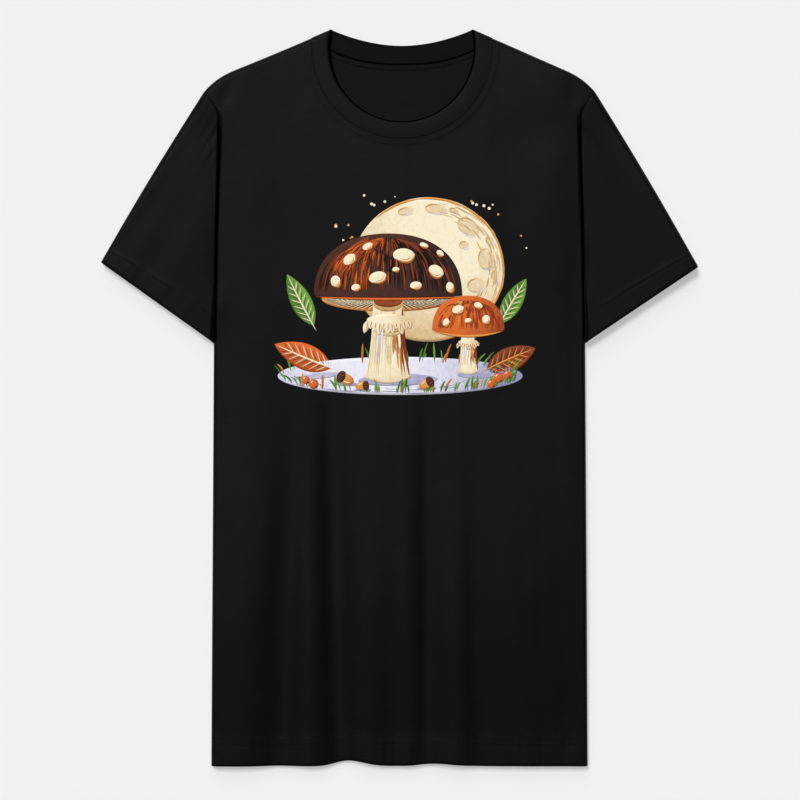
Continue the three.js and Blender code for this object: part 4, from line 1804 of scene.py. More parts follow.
@dataclass(frozen=True)
class Mushroom:
    """A mushroom: a domed cap with spots over gills and a stem with a ring."""

    name: str
    x: float
    y: float
    half: float
    height: float
    rim: float
    neck: float
    foot: float
    length: float
    level: int
    seed: int
    base: Ink
    warm: Ink
    bright: Ink
    streaks: int
    spots: tuple[tuple[float, ...], ...]
    cap_node: str
    stem_node: str
    spot_nodes: tuple[str, ...] = ()

    def dome(self, k: float, lean: float) -> Point:
        """Return the point of the cap at k, -1 to 1 across, and at an angle from its top."""
        return (
            self.x + self.half * 0.96 * k * math.sin(lean) ** 0.82,
            self.y - 0.4 * self.rim + self.height * (0.97 - 0.08 * k * k) * math.cos(lean) ** 0.85,
        )

    def side(self, k: float, down: float) -> Point:
        """Return the point of the stem at k, -1 to 1 across, and at a share of the way down."""
        wide = lerp(self.neck, self.foot, down**2.2)
        return self.x + k * wide, self.y - self.length * down - 0.2 * self.foot * down * (1 - k * k)

    def paint_stem(self, art: Picture, rng: random.Random) -> None:
        """Paint the stem: its fibres, its shaded side and its ring.

        Args:
            art: The picture to paint into.
            rng: The seeded source of chance.
        """
        base = stem_shape(self.x, self.y, self.neck, self.foot, self.length)
        lit = Mark(base, 22, 30, -0.1, self.side(-0.5, 0.55), self.length * 0.75)
        art.add(self.name, Ink.CREAM, self.level, [lit], self.stem_node)
        fibres, warm, dark = [], [], []
        for _ in range(round(self.foot * 3.2)):
            k, start = rng.uniform(-0.95, 0.97), rng.uniform(0.12, 0.6)
            end = min(0.98, start + rng.uniform(0.15, 0.5))
            points = [self.side(k, lerp(start, end, share)) for share in (0, 0.5, 1)]
            heavy = max(0.0, k) ** 1.5
            into = fibres if k < 0.25 or rng.random() < 0.25 else warm if k < 0.75 else dark
            into.append(stroke(*points, rng.uniform(0.5, 1.0) + heavy * 1.1, rng.uniform(0.3, 1.0)))
        edge = [self.side(0.96, down) for down in (0.14, 0.5, 0.97)]
        dark.append(stroke(*edge, 2.4, 0.4))
        art.add(self.name, Ink.CREAM, self.level + 1, fibres)
        art.add(self.name, Ink.AMBER, self.level + 1, warm)
        art.add(self.name, Ink.RUSSET, self.level + 2, dark)
        shine = [stroke(*[self.side(k, down) for down in (0.3, 0.5, 0.8)], 1.8) for k in (-0.6, -0.35)]
        art.add(self.name, Ink.PALE, self.level + 2, shine)
        self.paint_ring(art)

    def paint_ring(self, art: Picture) -> None:
        """Paint the ring, a torn skirt round the stem, and the shadow that it throws.

        Args:
            art: The picture to paint into.
        """
        y = self.y - self.length * 0.3
        wide = self.neck * 1.42
        under = [
            Mark(
                ellipse(self.x + self.neck * 0.06, y - wide * low, self.neck * 0.96, wide * tall), 14, 6, deep
            )
            for low, tall, deep in ((0.42, 0.34, 0.55), (0.34, 0.26, 1.0))
        ]
        top = Mark(ellipse(self.x, self.y - self.neck * 0.55, self.neck * 0.98, self.neck * 0.5), 14, 6, 1.0)
        art.add(self.name, Ink.CREAM, self.level + 1, [*under, top])
        dim = Mark(ellipse(self.x, self.y - self.neck * 0.35, self.neck * 0.96, self.neck * 0.42), 14, 6, 0.2)
        art.add(self.name, Ink.RUSSET, self.level + 2, [dim])
        skirt = [
            Mark(ellipse(self.x, y, wide, wide * 0.3), 16, 6, 0.0, (self.x - wide * 0.5, y + 2), wide * 1.7)
        ]
        folds = []
        for index in range(11):
            k = index / 5 - 1
            hang = wide * (0.48 + 0.16 * math.cos(index * 2.3))
            at = (self.x + k * wide * 0.93, y - wide * 0.1 * (1 - k * k))
            skirt.append(
                Mark(leaf(*at, hang, wide * 0.17, -math.pi / 2 + 0.3 * k), 8, 3, 0.15 + 0.3 * max(0.0, k))
            )
            folds.append(
                stroke(at, (at[0] + k, at[1] - hang * 0.4), (at[0] + 2 * k, at[1] - hang * 0.8), 0.8, 0.8)
            )
        art.add(self.name, Ink.CREAM, self.level + 3, skirt)
        art.add(self.name, Ink.AMBER, self.level + 4, folds)

    def paint_cap(self, art: Picture, rng: random.Random) -> None:
        """Paint the cap: light from the upper left, streaks along its dome, its rim and spots.

        Args:
            art: The picture to paint into.
            rng: The seeded source of chance.
        """
        level = self.level + 3
        base = cap_shape(self.x, self.y, self.half, self.height, self.rim)
        lit = Mark(
            base, 48, 22, 0.0, (self.x - 0.45 * self.half, self.y + 0.6 * self.height), self.half * 1.5
        )
        art.add(self.name, self.base, level, [lit], self.cap_node)
        tones: dict[Ink, list[Mark]] = {self.base: [], self.warm: [], self.bright: []}
        for index in range(self.streaks):
            k = rng.uniform(-0.98, 0.98)
            start = rng.uniform(0.12, 1.28)
            end = min(1.5, start + rng.uniform(0.15, 0.55))
            points = [self.dome(k, lerp(start, end, share)) for share in (0, 0.5, 1)]
            glow = math.exp(-(((k + 0.45) / 0.42) ** 2))
            wide = rng.uniform(0.7, 1.4) + 1.5 * glow * rng.random()
            if rng.random() < 0.2 + 0.5 * glow:
                tones[self.bright if rng.random() < 0.42 * glow else self.warm].append(
                    stroke(*points, wide, rng.uniform(0, 0.7))
                )
            else:
                tones[self.base].append(
                    stroke(*points, wide * 1.3, 1.0 if k > -0.1 else rng.uniform(0.2, 0.8))
                )
        for step, (ink, marks) in enumerate(tones.items()):
            art.add(self.name, ink, level + 1 + step, marks)
        reach = 0.99 * self.half
        edge = [(self.x - reach, self.y - 1), (self.x, self.y - self.rim + 0.5), (self.x + reach, self.y - 1)]
        art.add(self.name, self.bright, level + 3, [stroke(*edge, 2.4, 0.1)])
        self.paint_spots(art, level + 4)

    def paint_spots(self, art: Picture, level: int) -> None:
        """Paint the raised spots, each with a shaded lower edge.

        Args:
            art: The picture to paint into.
            level: How many skins lie below it.
        """
        spots: list[Mark] = []
        shadows: list[Mark] = []
        for x, y, rx, ry, turn in self.spots:
            spots.append(
                Mark(ellipse(x, y, rx, ry, turn), 14, 8, -0.05, (x - 0.4 * rx, y + 0.5 * ry), 2.3 * rx)
            )
            edge = turned(arc(rx * 1.03, ry * 1.03, -2.6, 0.3), x, y, turn)
            shadows.append(stroke(edge(0), edge(0.5), edge(1), 0.26 * ry + 0.7, 0.9))
            inner = turned(arc(rx * 0.62, ry * 0.6, -2.2, 0.0), x, y, turn)
            shadows.append(stroke(inner(0), inner(0.5), inner(1), 0.9, 0.2))
        art.add(self.name, Ink.CREAM, level, spots, *self.spot_nodes)
        art.add(self.name, Ink.AMBER, level + 1, shadows)

    def paint(self, art: Picture) -> None:
        """Paint the mushroom, from its stem to its cap.

        Args:
            art: The picture to paint into.
        """
        rng = random.Random(self.seed)
        self.paint_stem(art, rng)
        self.paint_cap(art, rng)


@dataclass(frozen=True)
class Gills:
    """The gills seen under the rim of the large cap."""

    x: float = -14.0
    y: float = -3.0
    rx: float = 66.0
    ry: float = 13.0
    count: int = 62

    def paint(self, art: Picture) -> None:
        """Paint the gills: dark and light lines that run from the stem out to the rim.

        Args:
            art: The picture to paint into.
        """
        plate = Mark(ellipse(self.x, self.y, self.rx, self.ry), 44, 8, 0.0, (self.x - 40, self.y), 95.0)
        art.add("gills", Ink.AMBER, 1, [plate], "print_gills")
        dark, light = [], []
        for index in range(self.count):
            angle = math.pi * (1 + (index + 0.5) / self.count)
            out = [
                (
                    self.x + self.rx * share * math.cos(angle),
                    self.y + self.ry * (share**1.4) * math.sin(angle) * 0.97,
                )
                for share in (0.24, 0.62, 0.98)
            ]
            (dark if index % 2 else light).append(stroke(*out, 1.15 if index % 2 else 0.8, 0.2))
        art.add("gills", Ink.BROWN, 2, dark)
        art.add("gills", Ink.CREAM, 2, light)


@dataclass(frozen=True)
class Leaf:
    """A leaf with a shaded half, a rib and side veins."""

    name: str
    x: float
    y: float
    length: float
    half: float
    turn: float
    ink: Ink
    vein: Ink
    node: str = ""

    def at(self, along: float, out: float) -> Point:
        """Return the point at a share along the rib and a share of the half width beside it."""
        return turned(lambda t: (self.length * along, self.half * out), self.x, self.y, self.turn)(0)

    def paint(self, art: Picture) -> None:
        """Paint the leaf.

        Args:
            art: The picture to paint into.
        """
        shape = (self.x, self.y, self.length, self.half, self.turn)
        whole = Mark(leaf(*shape), 22, 8, 0.0, self.at(0.55, 0.5), self.length * 0.9)
        art.add(self.name, self.ink, 1, [whole], *([self.node] if self.node else []))
        art.add(self.name, self.ink, 2, [Mark(leaf(*shape, rib=0.0), 20, 4, 0.55)])
        veins = [stroke(self.at(-0.12, 0), self.at(0.4, 0.05), self.at(0.97, 0), 1.7)]
        dark = []
        edge = bezier((0, 0), (0.25, 1.3), (0.7, 1), (1, 0))
        for index in range(6):
            along, out = edge(0.26 + 0.11 * index)
            for side in (-1, 1):
                tip = self.at(along, side * out * 0.86)
                root, middle = self.at(along - 0.15, 0), self.at(along - 0.08, side * out * 0.4)
                veins.append(stroke(root, middle, tip, 1.0, 0.3))
                root, middle = self.at(along - 0.1, 0), self.at(along - 0.02, side * out * 0.3)
                dark.append(stroke(root, middle, self.at(along + 0.05, side * out * 0.66), 0.9, 1.0))
        art.add(self.name, self.ink, 3, dark)
        art.add(self.name, self.vein, 4, veins)


@dataclass(frozen=True)
class Ground:
    """The pale ground with its shadows, grass, acorns and berries."""

    x: float = -2.0
    y: float = -80.0
    rx: float = 122.0
    ry: float = 19.0
    acorns: tuple[tuple[float, ...], ...] = ((-56, -83, 8.5, 2.7), (24, -88, 7.5, 0.5), (-40, -90, 6.5, 0.1))
    berries: tuple[tuple[float, ...], ...] = (
        (96, -82, 5), (105, -79, 4), (89, -88, 4.2), (-96, -84, 4), (-88, -88, 4.8)
    )

    def paint(self, art: Picture) -> None:
        """Paint the ground from its base up to what lies on it.

        Args:
            art: The picture to paint into.
        """
        rng = random.Random(23)
        base = Mark(ellipse(self.x, self.y, self.rx, self.ry), 70, 12, -0.1, (-34.0, -76.0), 125.0)
        art.add("ground", Ink.PALE, 1, [base], "print_ground")
        shadows = [
            dot(-4, -84, 40, 6, 0.02, 0.8), dot(74, -79, 19, 3.6, 0.0, 0.8), dot(-84, -80, 24, 3, 0.1, 0.6)
        ]
        for _ in range(54):
            angle, share = rng.uniform(math.pi, 2 * math.pi), rng.uniform(0.45, 0.96)
            points = [
                (
                    self.x + self.rx * share * math.cos(angle + off),
                    self.y + self.ry * share * math.sin(angle + off),
                )
                for off in (-0.1, 0, 0.1)
            ]
            shadows.append(stroke(*points, rng.uniform(0.6, 1.5), rng.uniform(0.4, 1.0)))
        art.add("ground", Ink.PALE, 2, shadows)
        self.paint_grass(art, rng)
        for acorn in self.acorns:
            self.paint_acorn(art, *acorn)
        for x, y, size in self.berries:
            art.add("berries", Ink.ORANGE, 6, [
                Mark(ellipse(x, y, size, size), 12, 8, 0.0, (x - size * 0.4, y + size * 0.4), size * 1.7)
            ])
            shine = arc(size * 0.6, size * 0.6, 1.6, 2.9, x, y)
            art.add("berries", Ink.CREAM, 7, [stroke(shine(0), shine(0.5), shine(1), 1.2)])
            art.add("berries", Ink.BROWN, 7, [dot(x + size * 0.5, y - size * 0.55, 0.9, 0.7)])

    def paint_grass(self, art: Picture, rng: random.Random) -> None:
        """Paint tufts of grass along the ground, leaning outwards.

        Args:
            art: The picture to paint into.
            rng: The seeded source of chance.
        """
        for index in range(120):
            k = rng.uniform(-1, 1)
            front = index % 3 != 0
            spread_y = (-0.85 if front else 0.75) * math.sqrt(max(0.0, 1 - k * k))
            x, y = self.x + self.rx * 0.97 * k, self.y + self.ry * spread_y - 1
            tall = rng.uniform(7, 20) * (0.8 if front else 1.1)
            lean = 0.5 * k + rng.uniform(-0.35, 0.35)
            tip = (x + tall * math.sin(lean), y + tall * math.cos(lean))
            middle = ((x + tip[0]) / 2 - 1.5 * lean, (y + tip[1]) / 2 + 1)
            ink = Ink.AMBER if rng.random() < 0.16 else Ink.GREEN
            art.add("grass", ink, 4 if front else 1, [
                stroke((x, y), middle, tip, rng.uniform(1.2, 2.4), rng.uniform(0, 0.9))
            ])

    def paint_acorn(self, art: Picture, x: float, y: float, size: float, turn: float) -> None:
        """Paint an acorn, with its cup to the side that its turn gives.

        Args:
            art: The picture to paint into.
            x: Across, in mm.
            y: Up, in mm.
            size: The size, in mm.
            turn: The turn of the acorn.
        """
        shadow = dot(x + 1, y - size * 0.62, size * 1.3, size * 0.22, 0.0, 1.0)
        art.add("acorns", Ink.PALE, 3, [shadow])
        nut = Mark(ellipse(x, y, size, size * 0.62, turn), 16, 8, 0.0, (x - 2, y + size * 0.35), size * 1.4)
        art.add("acorns", Ink.AMBER, 5, [nut])
        cup_x, cup_y = x + size * 0.62 * math.cos(turn), y + size * 0.62 * math.sin(turn)
        art.add("acorns", Ink.BROWN, 6, [Mark(
            ellipse(cup_x, cup_y, size * 0.5, size * 0.74, turn), 12, 10, 0.0, (cup_x - 2, cup_y + 3), size
        )])
        shine = turned(arc(size * 0.7, size * 0.34, 1.3, 2.7), x, y, turn)
        art.add("acorns", Ink.CREAM, 6, [stroke(shine(0), shine(0.5), shine(1), 1.1)])
        for off in (-0.5, -0.17, 0.17, 0.5):
            line = turned(lambda t: (size * (0.25 + 0.7 * t), size * off * (1.5 - 0.7 * t)), x, y, turn)
            art.add("acorns", Ink.RUSSET, 7, [stroke(line(0), line(0.5), line(1), 0.7)])


@dataclass(frozen=True)
class Woodland:
    """The whole picture: two mushrooms, a moon, leaves, the ground and a few stars."""

    def paint(self) -> Picture:
        """Paint every motif into one picture.

        Returns:
            The picture.
        """
        art = Picture()
        Moon().paint(art)
        Ground().paint(art)
        Leaf("leaf_left", -70, -72, 62, 15, 2.75, Ink.ORANGE, Ink.CREAM, "print_leaf_left").paint(art)
        Leaf("leaf_right", 84, -74, 54, 14, 0.42, Ink.RUSSET, Ink.AMBER, "print_leaf_right").paint(art)
        Leaf("leaf_top_left", -88, -30, 58, 12, 2.05, Ink.GREEN, Ink.CREAM, "print_leaf_top_left").paint(art)
        Leaf("leaf_top_right", 98, -28, 52, 11, 1.05, Ink.GREEN, Ink.CREAM, "print_leaf_top_right").paint(art)
        Gills().paint(art)
        Mushroom(
            "small_mushroom", 66, -34, 36, 34, 7, 7, 10, 42, 3, 41, Ink.ORANGE, Ink.RUSSET, Ink.AMBER, 110,
            (
                (56, -14, 6, 4.4, 0.2), (76, -10, 4.4, 3.2, -0.4), (84, -24, 4, 4.6, 0.2),
                (44, -27, 3.4, 4.4, -0.2), (66, -25, 3.4, 2.6, 0.0),
            ),
            "print_small_cap", "print_small_stem",
        ).paint(art)
        Mushroom(
            "mushroom", -14, 0, 74, 62, 4, 15, 23, 82, 3, 7, Ink.BROWN, Ink.RUSSET, Ink.ORANGE, 430,
            (
                (2, 40, 11, 7, -0.1), (34, 24, 8, 6, -0.6), (-24, 18, 9, 6, 0.2), (14, 10, 6, 4, 0.0),
                (-52, 36, 7, 5, 0.6), (-66, 14, 5, 6, 0.2), (48, 8, 4, 5.5, 0.2), (-34, 49, 5.5, 3.4, 0.4),
                (-46, 8, 4.5, 3.6, 0.1), (22, 50, 4.5, 2.6, -0.4), (-6, 26, 3.6, 2.6, 0.0),
                (38, 42, 4, 3, -0.7),
            ),
            "print_cap", "print_stem", ("print_spot_1", "print_spot_2", "print_spot_3", "print_spot_4"),
        ).paint(art)
        glow = Mark(leaf(-72, 14, 60, 10, 0.85), 24, 6, 0.0, (-50, 42), 34.0)
        art.add("cap_glow", Ink.RUSSET, 7, [glow], "print_cap_glow")
        shine = [
            stroke(
                (-70 + k, 20 - k * 0.6), (-56 + k * 1.1, 39 - k * 0.4), (-36 + k * 1.3, 54 - k * 0.5),
                wide, deep,
            )
            for k, wide, deep in ((0, 1.6, 0.0), (3.5, 2.4, 0.1), (7, 1.4, 0.5), (10.5, 1.0, 0.8))
        ]
        art.add("cap_glow", Ink.ORANGE, 8, shine)
        rng = random.Random(3)
        for _ in range(34):
            angle, out = rng.uniform(0.1, 3.1), rng.uniform(1.08, 1.36)
            x, y = 26 + 76 * out * math.cos(angle), 26 + 72 * out * math.sin(angle)
            if abs(x) < 136 and y < 101:
                size = rng.uniform(0.6, 1.5)
                art.add("stars", Ink.AMBER if rng.random() < 0.4 else Ink.CREAM, 0, [dot(x, y, size, size)])
        return art


# ---------------------------------------------------------------- finishes


def linear(code: str) -> tuple[float, float, float, float]:
    """Return an sRGB hex colour as linear RGBA.

    Args:
        code: The colour as #rrggbb.

    Returns:
        The colour.
    """
    channels = [int(code[i : i + 2], 16) / 255 for i in (1, 3, 5)]
    lit = [c / 12.92 if c <= 0.04045 else ((c + 0.055) / 1.055) ** 2.4 for c in channels]
    return lit[0], lit[1], lit[2], 1.0


def add_node(
    tree: bpy.types.NodeTree,
    kind: str,
    settings: dict[str | int, object] | None = None,
    links: dict[str | int, bpy.types.NodeSocket] | None = None,
) -> bpy.types.Node:
    """Add a node to a tree.

    Args:
        tree: The node tree.
        kind: The node's type, without the word ShaderNode.
        settings: Values for its input sockets, or for its own properties.
        links: Output sockets to link to its inputs.

    Returns:
        The new node.
    """
    node = tree.nodes.new(f"ShaderNode{kind}")
    for key, value in (settings or {}).items():
        if isinstance(key, str) and hasattr(node, key):
            setattr(node, key, value)
    for key, value in (settings or {}).items():
        if isinstance(key, int) or not hasattr(node, key):
            node.inputs[key].default_value = value
    for key, source in (links or {}).items():
        tree.links.new(source, node.inputs[key])
    return node


def new_finish(name: str) -> tuple[bpy.types.Material, bpy.types.NodeTree]:
    """Return a new material and its empty node tree.

    Args:
        name: The material's name.

    Returns:
        The material and its tree.
    """
    material = bpy.data.materials.new(name)
    material.use_nodes = True
    material.node_tree.nodes.clear()
    return material, material.node_tree


@dataclass(frozen=True)
class Knit:
    """A knitted surface: loops in wales and courses, as a height for bump."""

    wale: float
    course: float
    depth: float

    def height(self, tree: bpy.types.NodeTree, flat: bpy.types.NodeSocket) -> bpy.types.NodeSocket:
        """Add the nodes of the loops.

        Args:
            tree: The material's tree.
            flat: The place on the flat cloth, in metres.

        Returns:
            The height, about 0 to 1.
        """
        split = add_node(tree, "SeparateXYZ", links={0: flat})
        across = add_node(
            tree, "Math", {"operation": "MULTIPLY", 1: 1 / (self.wale * MM)}, {0: split.outputs[0]}
        )
        along = add_node(
            tree, "Math", {"operation": "MULTIPLY", 1: 1 / (self.course * MM)}, {0: split.outputs[1]}
        )
        leg = add_node(tree, "Math", {"operation": "PINGPONG", 1: 0.5}, {0: across.outputs[0]})
        lean = add_node(
            tree, "Math", {"operation": "MULTIPLY_ADD", 1: 1.4}, {0: leg.outputs[0], 2: along.outputs[0]}
        )
        turn = add_node(tree, "Math", {"operation": "MULTIPLY", 1: 2 * math.pi}, {0: lean.outputs[0]})
        loop = add_node(tree, "Math", {"operation": "SINE"}, {0: turn.outputs[0]})
        ridge = add_node(tree, "Math", {"operation": "MULTIPLY", 1: 1.6}, {0: leg.outputs[0]})
        both = add_node(
            tree, "Math", {"operation": "MULTIPLY_ADD", 1: 0.35}, {0: loop.outputs[0], 2: ridge.outputs[0]}
        )
        return both.outputs[0]


@dataclass(frozen=True)
class Jersey:
    """Combed cotton single jersey, piece-dyed black.

    The ring-spun yarn gives the eye a soft matt black with a faint sheen towards the light, fine
    level streaks where the yarn takes more or less dye, and loops that show only close up. The
    real wales are 0.75 mm apart, and are drawn 1.05 mm apart so that they show.
    """

    name: str = "cotton_jersey_black"
    dark: str = "#050505"
    light: str = "#070707"
    roughness: float = 0.5
    specular: float = 0.067
    knit: Knit = Knit(1.05, 0.85, 0.08)
    sheen: float = 0.012
    streak_long: float = 26.0
    streak_high: float = 1.6
    slub: float = 0.09

    def make(self) -> bpy.types.Material:
        """Make the material.

        Returns:
            The material.
        """
        material, tree = new_finish(self.name)
        flat = add_node(tree, "UVMap", {"uv_map": "cloth"}).outputs[0]
        streak_size = (1 / (self.streak_long * MM), 1 / (self.streak_high * MM), 1.0)
        streak_place = add_node(tree, "Mapping", {"Scale": streak_size}, {0: flat})
        streaks = add_node(
            tree, "TexNoise", {"Scale": 1.0, "Detail": 2.0, "Roughness": 0.6}, {0: streak_place.outputs[0]}
        )
        cloud_place = add_node(tree, "Mapping", {"Scale": (28.0, 22.0, 1.0)}, {0: flat})
        clouds = add_node(tree, "TexNoise", {"Scale": 1.0, "Detail": 3.0}, {0: cloud_place.outputs[0]})
        tone = add_node(
            tree, "Math", {"operation": "MULTIPLY_ADD", 1: 0.7}, {0: streaks.outputs[0], 2: clouds.outputs[0]}
        )
        spread_tone = add_node(tree, "MapRange", {"From Min": 0.62, "From Max": 1.08}, {0: tone.outputs[0]})
        colour = add_node(
            tree,
            "Mix",
            {"data_type": "RGBA", 6: linear(self.dark), 7: linear(self.light)},
            {0: spread_tone.outputs[0]},
        )
        rough = add_node(
            tree,
            "MapRange",
            {
                "From Min": 0.3,
                "From Max": 0.7,
                "To Min": self.roughness - 0.04,
                "To Max": self.roughness + 0.04,
            },
            {0: streaks.outputs[0]},
        )
        # Painted shade: the shade attribute darkens the colour to black and raises the roughness where the
        # cloth lies in a crease, inside the neck or under a hem's edge.
        shade = add_node(tree, "Attribute", {"attribute_name": "shade"}).outputs["Fac"]
        shaded_roughness = add_node(tree, "Mix", {"data_type": "FLOAT", 3: 1.0}, {0: shade, 2: rough.outputs[0]})
        dim = add_node(
            tree, "Mix", {"data_type": "RGBA", 7: linear("#000000")}, {0: shade, 6: colour.outputs[2]}
        )
        fibres = add_node(tree, "TexNoise", {"Scale": 2600.0, "Detail": 3.0}, {0: flat})
        knit = self.knit.height(tree, flat)
        relief = add_node(
            tree, "Math", {"operation": "MULTIPLY_ADD", 1: 0.5}, {0: fibres.outputs[0], 2: knit}
        )
        slubs = add_node(
            tree, "Bump", {"Strength": 0.8, "Distance": self.slub * MM}, {"Height": streaks.outputs[0]}
        )
        bump = add_node(
            tree,
            "Bump",
            {"Strength": 0.55, "Distance": self.knit.depth * MM},
            {"Height": relief.outputs[0], "Normal": slubs.outputs[0]},
        )
        shader = add_node(
            tree,
            "BsdfPrincipled",
            {"Specular IOR Level": self.specular, "Sheen Weight": self.sheen, "Sheen Roughness": 0.5},
            {"Base Color": dim.outputs[2], "Roughness": shaded_roughness.outputs[0], "Normal": bump.outputs[0]},
        )
        add_node(tree, "OutputMaterial", links={0: shader.outputs[0]})
        return material


@dataclass(frozen=True)
class Twill:
    """Cotton twill tape: a tight weave of slanting ribs, matt and a little lighter than jersey."""

    name: str = "cotton_twill_tape_black"
    colour: str = "#050505"
    rib: float = 1.3

    def make(self) -> bpy.types.Material:
        """Make the material.

        Returns:
            The material.
        """
        material, tree = new_finish(self.name)
        flat = add_node(tree, "UVMap", {"uv_map": "cloth"}).outputs[0]
        turned = add_node(
            tree, "Mapping", {"Rotation": (0, 0, 0.9), "Scale": (1 / (self.rib * MM),) * 3}, {0: flat}
        )
        split = add_node(tree, "SeparateXYZ", links={0: turned.outputs[0]})
        ridge = add_node(tree, "Math", {"operation": "PINGPONG", 1: 0.5}, {0: split.outputs[0]})
        bump = add_node(tree, "Bump", {"Strength": 0.5, "Distance": 0.2 * MM}, {"Height": ridge.outputs[0]})
        shader = add_node(
            tree,
            "BsdfPrincipled",
            {"Base Color": linear(self.colour), "Roughness": 0.55, "Specular IOR Level": 0.05},
            {"Normal": bump.outputs[0]},
        )
        add_node(tree, "OutputMaterial", links={0: shader.outputs[0]})
        return material


@dataclass(frozen=True)
class Thread:
    """Spun polyester sewing thread: smoother than the cotton, so it catches a little more light."""

    name: str = "polyester_thread_black"
    colour: str = "#030303"

    def make(self) -> bpy.types.Material:
        """Make the material, twisted by a fine slanting bump.

        Returns:
            The material.
        """
        material, tree = new_finish(self.name)
        place = add_node(tree, "TexCoord").outputs["Object"]
        twist = add_node(tree, "TexNoise", {"Scale": 3000.0, "Detail": 1.0}, {0: place})
        bump = add_node(tree, "Bump", {"Strength": 0.4, "Distance": 0.1 * MM}, {"Height": twist.outputs[0]})
        shader = add_node(
            tree,
            "BsdfPrincipled",
            {"Base Color": linear(self.colour), "Roughness": 0.6, "Specular IOR Level": 0.1},
            {"Normal": bump.outputs[0]},
        )
        add_node(tree, "OutputMaterial", links={0: shader.outputs[0]})
        return material


@dataclass(frozen=True)
class InkFinish:
    """Water-based screen ink: a soft matt film, so thin that the loops of the jersey show through it.

    The eye gets flat, slightly chalky colour with a little mottling where the cloth drank more ink.
    """

    ink: Ink
    roughness: float = 0.62
    specular: float = 0.2
    mottle: float = 0.34
    knit: Knit = Knit(1.05, 0.85, 0.08)

    def make(self) -> bpy.types.Material:
        """Make the material, from the ink's colour in the light to its deeper shade.

        Returns:
            The material.
        """
        slot, light, deep = self.ink.value
        material, tree = new_finish(f"screen_{slot}")
        flat = add_node(tree, "UVMap", {"uv_map": "cloth"}).outputs[0]
        shade = add_node(tree, "Attribute", {"attribute_name": "shade"}).outputs["Fac"]
        cloud = add_node(tree, "TexNoise", {"Scale": 190.0, "Detail": 4.0, "Roughness": 0.65}, {0: flat})
        uneven = add_node(
            tree,
            "MapRange",
            {"From Min": 0.3, "From Max": 0.7, "To Min": -self.mottle / 2, "To Max": self.mottle / 2},
            {0: cloud.outputs[0]},
        )
        depth = add_node(
            tree, "Math", {"operation": "ADD", "use_clamp": True}, {0: shade, 1: uneven.outputs[0]}
        )
        colour = add_node(
            tree, "Mix", {"data_type": "RGBA", 6: linear(light), 7: linear(deep)}, {0: depth.outputs[0]}
        )
        knit = self.knit.height(tree, flat)
        bump = add_node(tree, "Bump", {"Strength": 0.4, "Distance": self.knit.depth * MM}, {"Height": knit})
        shader = add_node(
            tree,
            "BsdfPrincipled",
            {"Roughness": self.roughness, "Specular IOR Level": self.specular},
            {"Base Color": colour.outputs[2], "Normal": bump.outputs[0]},
        )
        add_node(tree, "OutputMaterial", links={0: shader.outputs[0]})
        return material


# ---------------------------------------------------------------- the studio


@dataclass(frozen=True)
class Lamp:
    """A large soft lamp far off; a heading of 0 puts it beyond the neck, and of 180 beyond the hem."""

    name: str
    strength: float
    softness: float
    elevation: float
    heading: float

    def build(self) -> None:
        """Build the lamp."""
        data = bpy.data.lights.new(self.name, "SUN")
        data.energy = self.strength
        data.angle = math.radians(self.softness)
        lamp = bpy.data.objects.new(self.name, data)
        lamp.rotation_euler = (math.radians(self.elevation - 90), 0, math.radians(self.heading))
        bpy.context.scene.collection.objects.link(lamp)


@dataclass(frozen=True)
class Studio:
    """A plain pale table top under soft light from beyond the neck, and a camera straight above."""

    table_half: float = 60.0
    table_colour: str = "#b1b1b1"
    table_glow: float = 0.423
    key: Lamp = Lamp("soft_key", 2.75, 20.0, 63.0, 26.0)
    low: Lamp = Lamp("low_key", 0.8, 36.0, 34.0, 10.0)
    back: Lamp = Lamp("hem_side_lamp", 0.2, 80.0, 30.0, 180.0)
    fill: float = 0.1
    camera_place: tuple[float, float, float] = (0.0005, -0.002, 2.227)
    lens: float = 100.0

    def table(self) -> bpy.types.Object:
        """Build the table top, an evenly lit white sheet.

        Returns:
            The table top.
        """
        bm = bmesh.new()
        bmesh.ops.create_grid(bm, x_segments=1, y_segments=1, size=self.table_half)
        bmesh.ops.translate(bm, verts=bm.verts[:], vec=(0, 0, -0.0003))
        table = add_piece("table_top", bm)
        material, tree = new_finish("white_table_top")
        shader = add_node(
            tree,
            "BsdfPrincipled",
            {
                "Base Color": linear(self.table_colour),
                "Roughness": 0.9,
                "Specular IOR Level": 0.0,
                "Emission Color": (1, 1, 1, 1),
                "Emission Strength": self.table_glow,
            },
        )
        add_node(tree, "OutputMaterial", links={0: shader.outputs[0]})
        table.data.materials.append(material)
        table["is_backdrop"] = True
        return table

    def light(self) -> None:
        """Light the scene: two soft lamps beyond the neck, a weak one beyond the hem, and an even fill."""
        self.key.build()
        self.low.build()
        self.back.build()
        world = bpy.data.worlds.new("even_fill")
        world.use_nodes = True
        world.node_tree.nodes["Background"].inputs[0].default_value = (1, 1, 1, 1)
        world.node_tree.nodes["Background"].inputs[1].default_value = self.fill
        bpy.context.scene.world = world

    def camera(self) -> None:
        """Put the camera straight above the shirt, with the neck at the top of the picture."""
        data = bpy.data.cameras.new("camera")
        data.lens = self.lens
        data.sensor_width = 36
        camera = bpy.data.objects.new("camera", data)
        camera.location = self.camera_place
        bpy.context.scene.collection.objects.link(camera)
        bpy.context.scene.camera = camera

    def build(self) -> None:
        """Build the whole studio."""
        self.table()
        self.light()
        self.camera()
        view = bpy.context.scene.view_settings
        view.view_transform = "Standard"
        view.look = "None"
        view.exposure = 0
        view.gamma = 1


# ---------------------------------------------------------------- the whole shirt


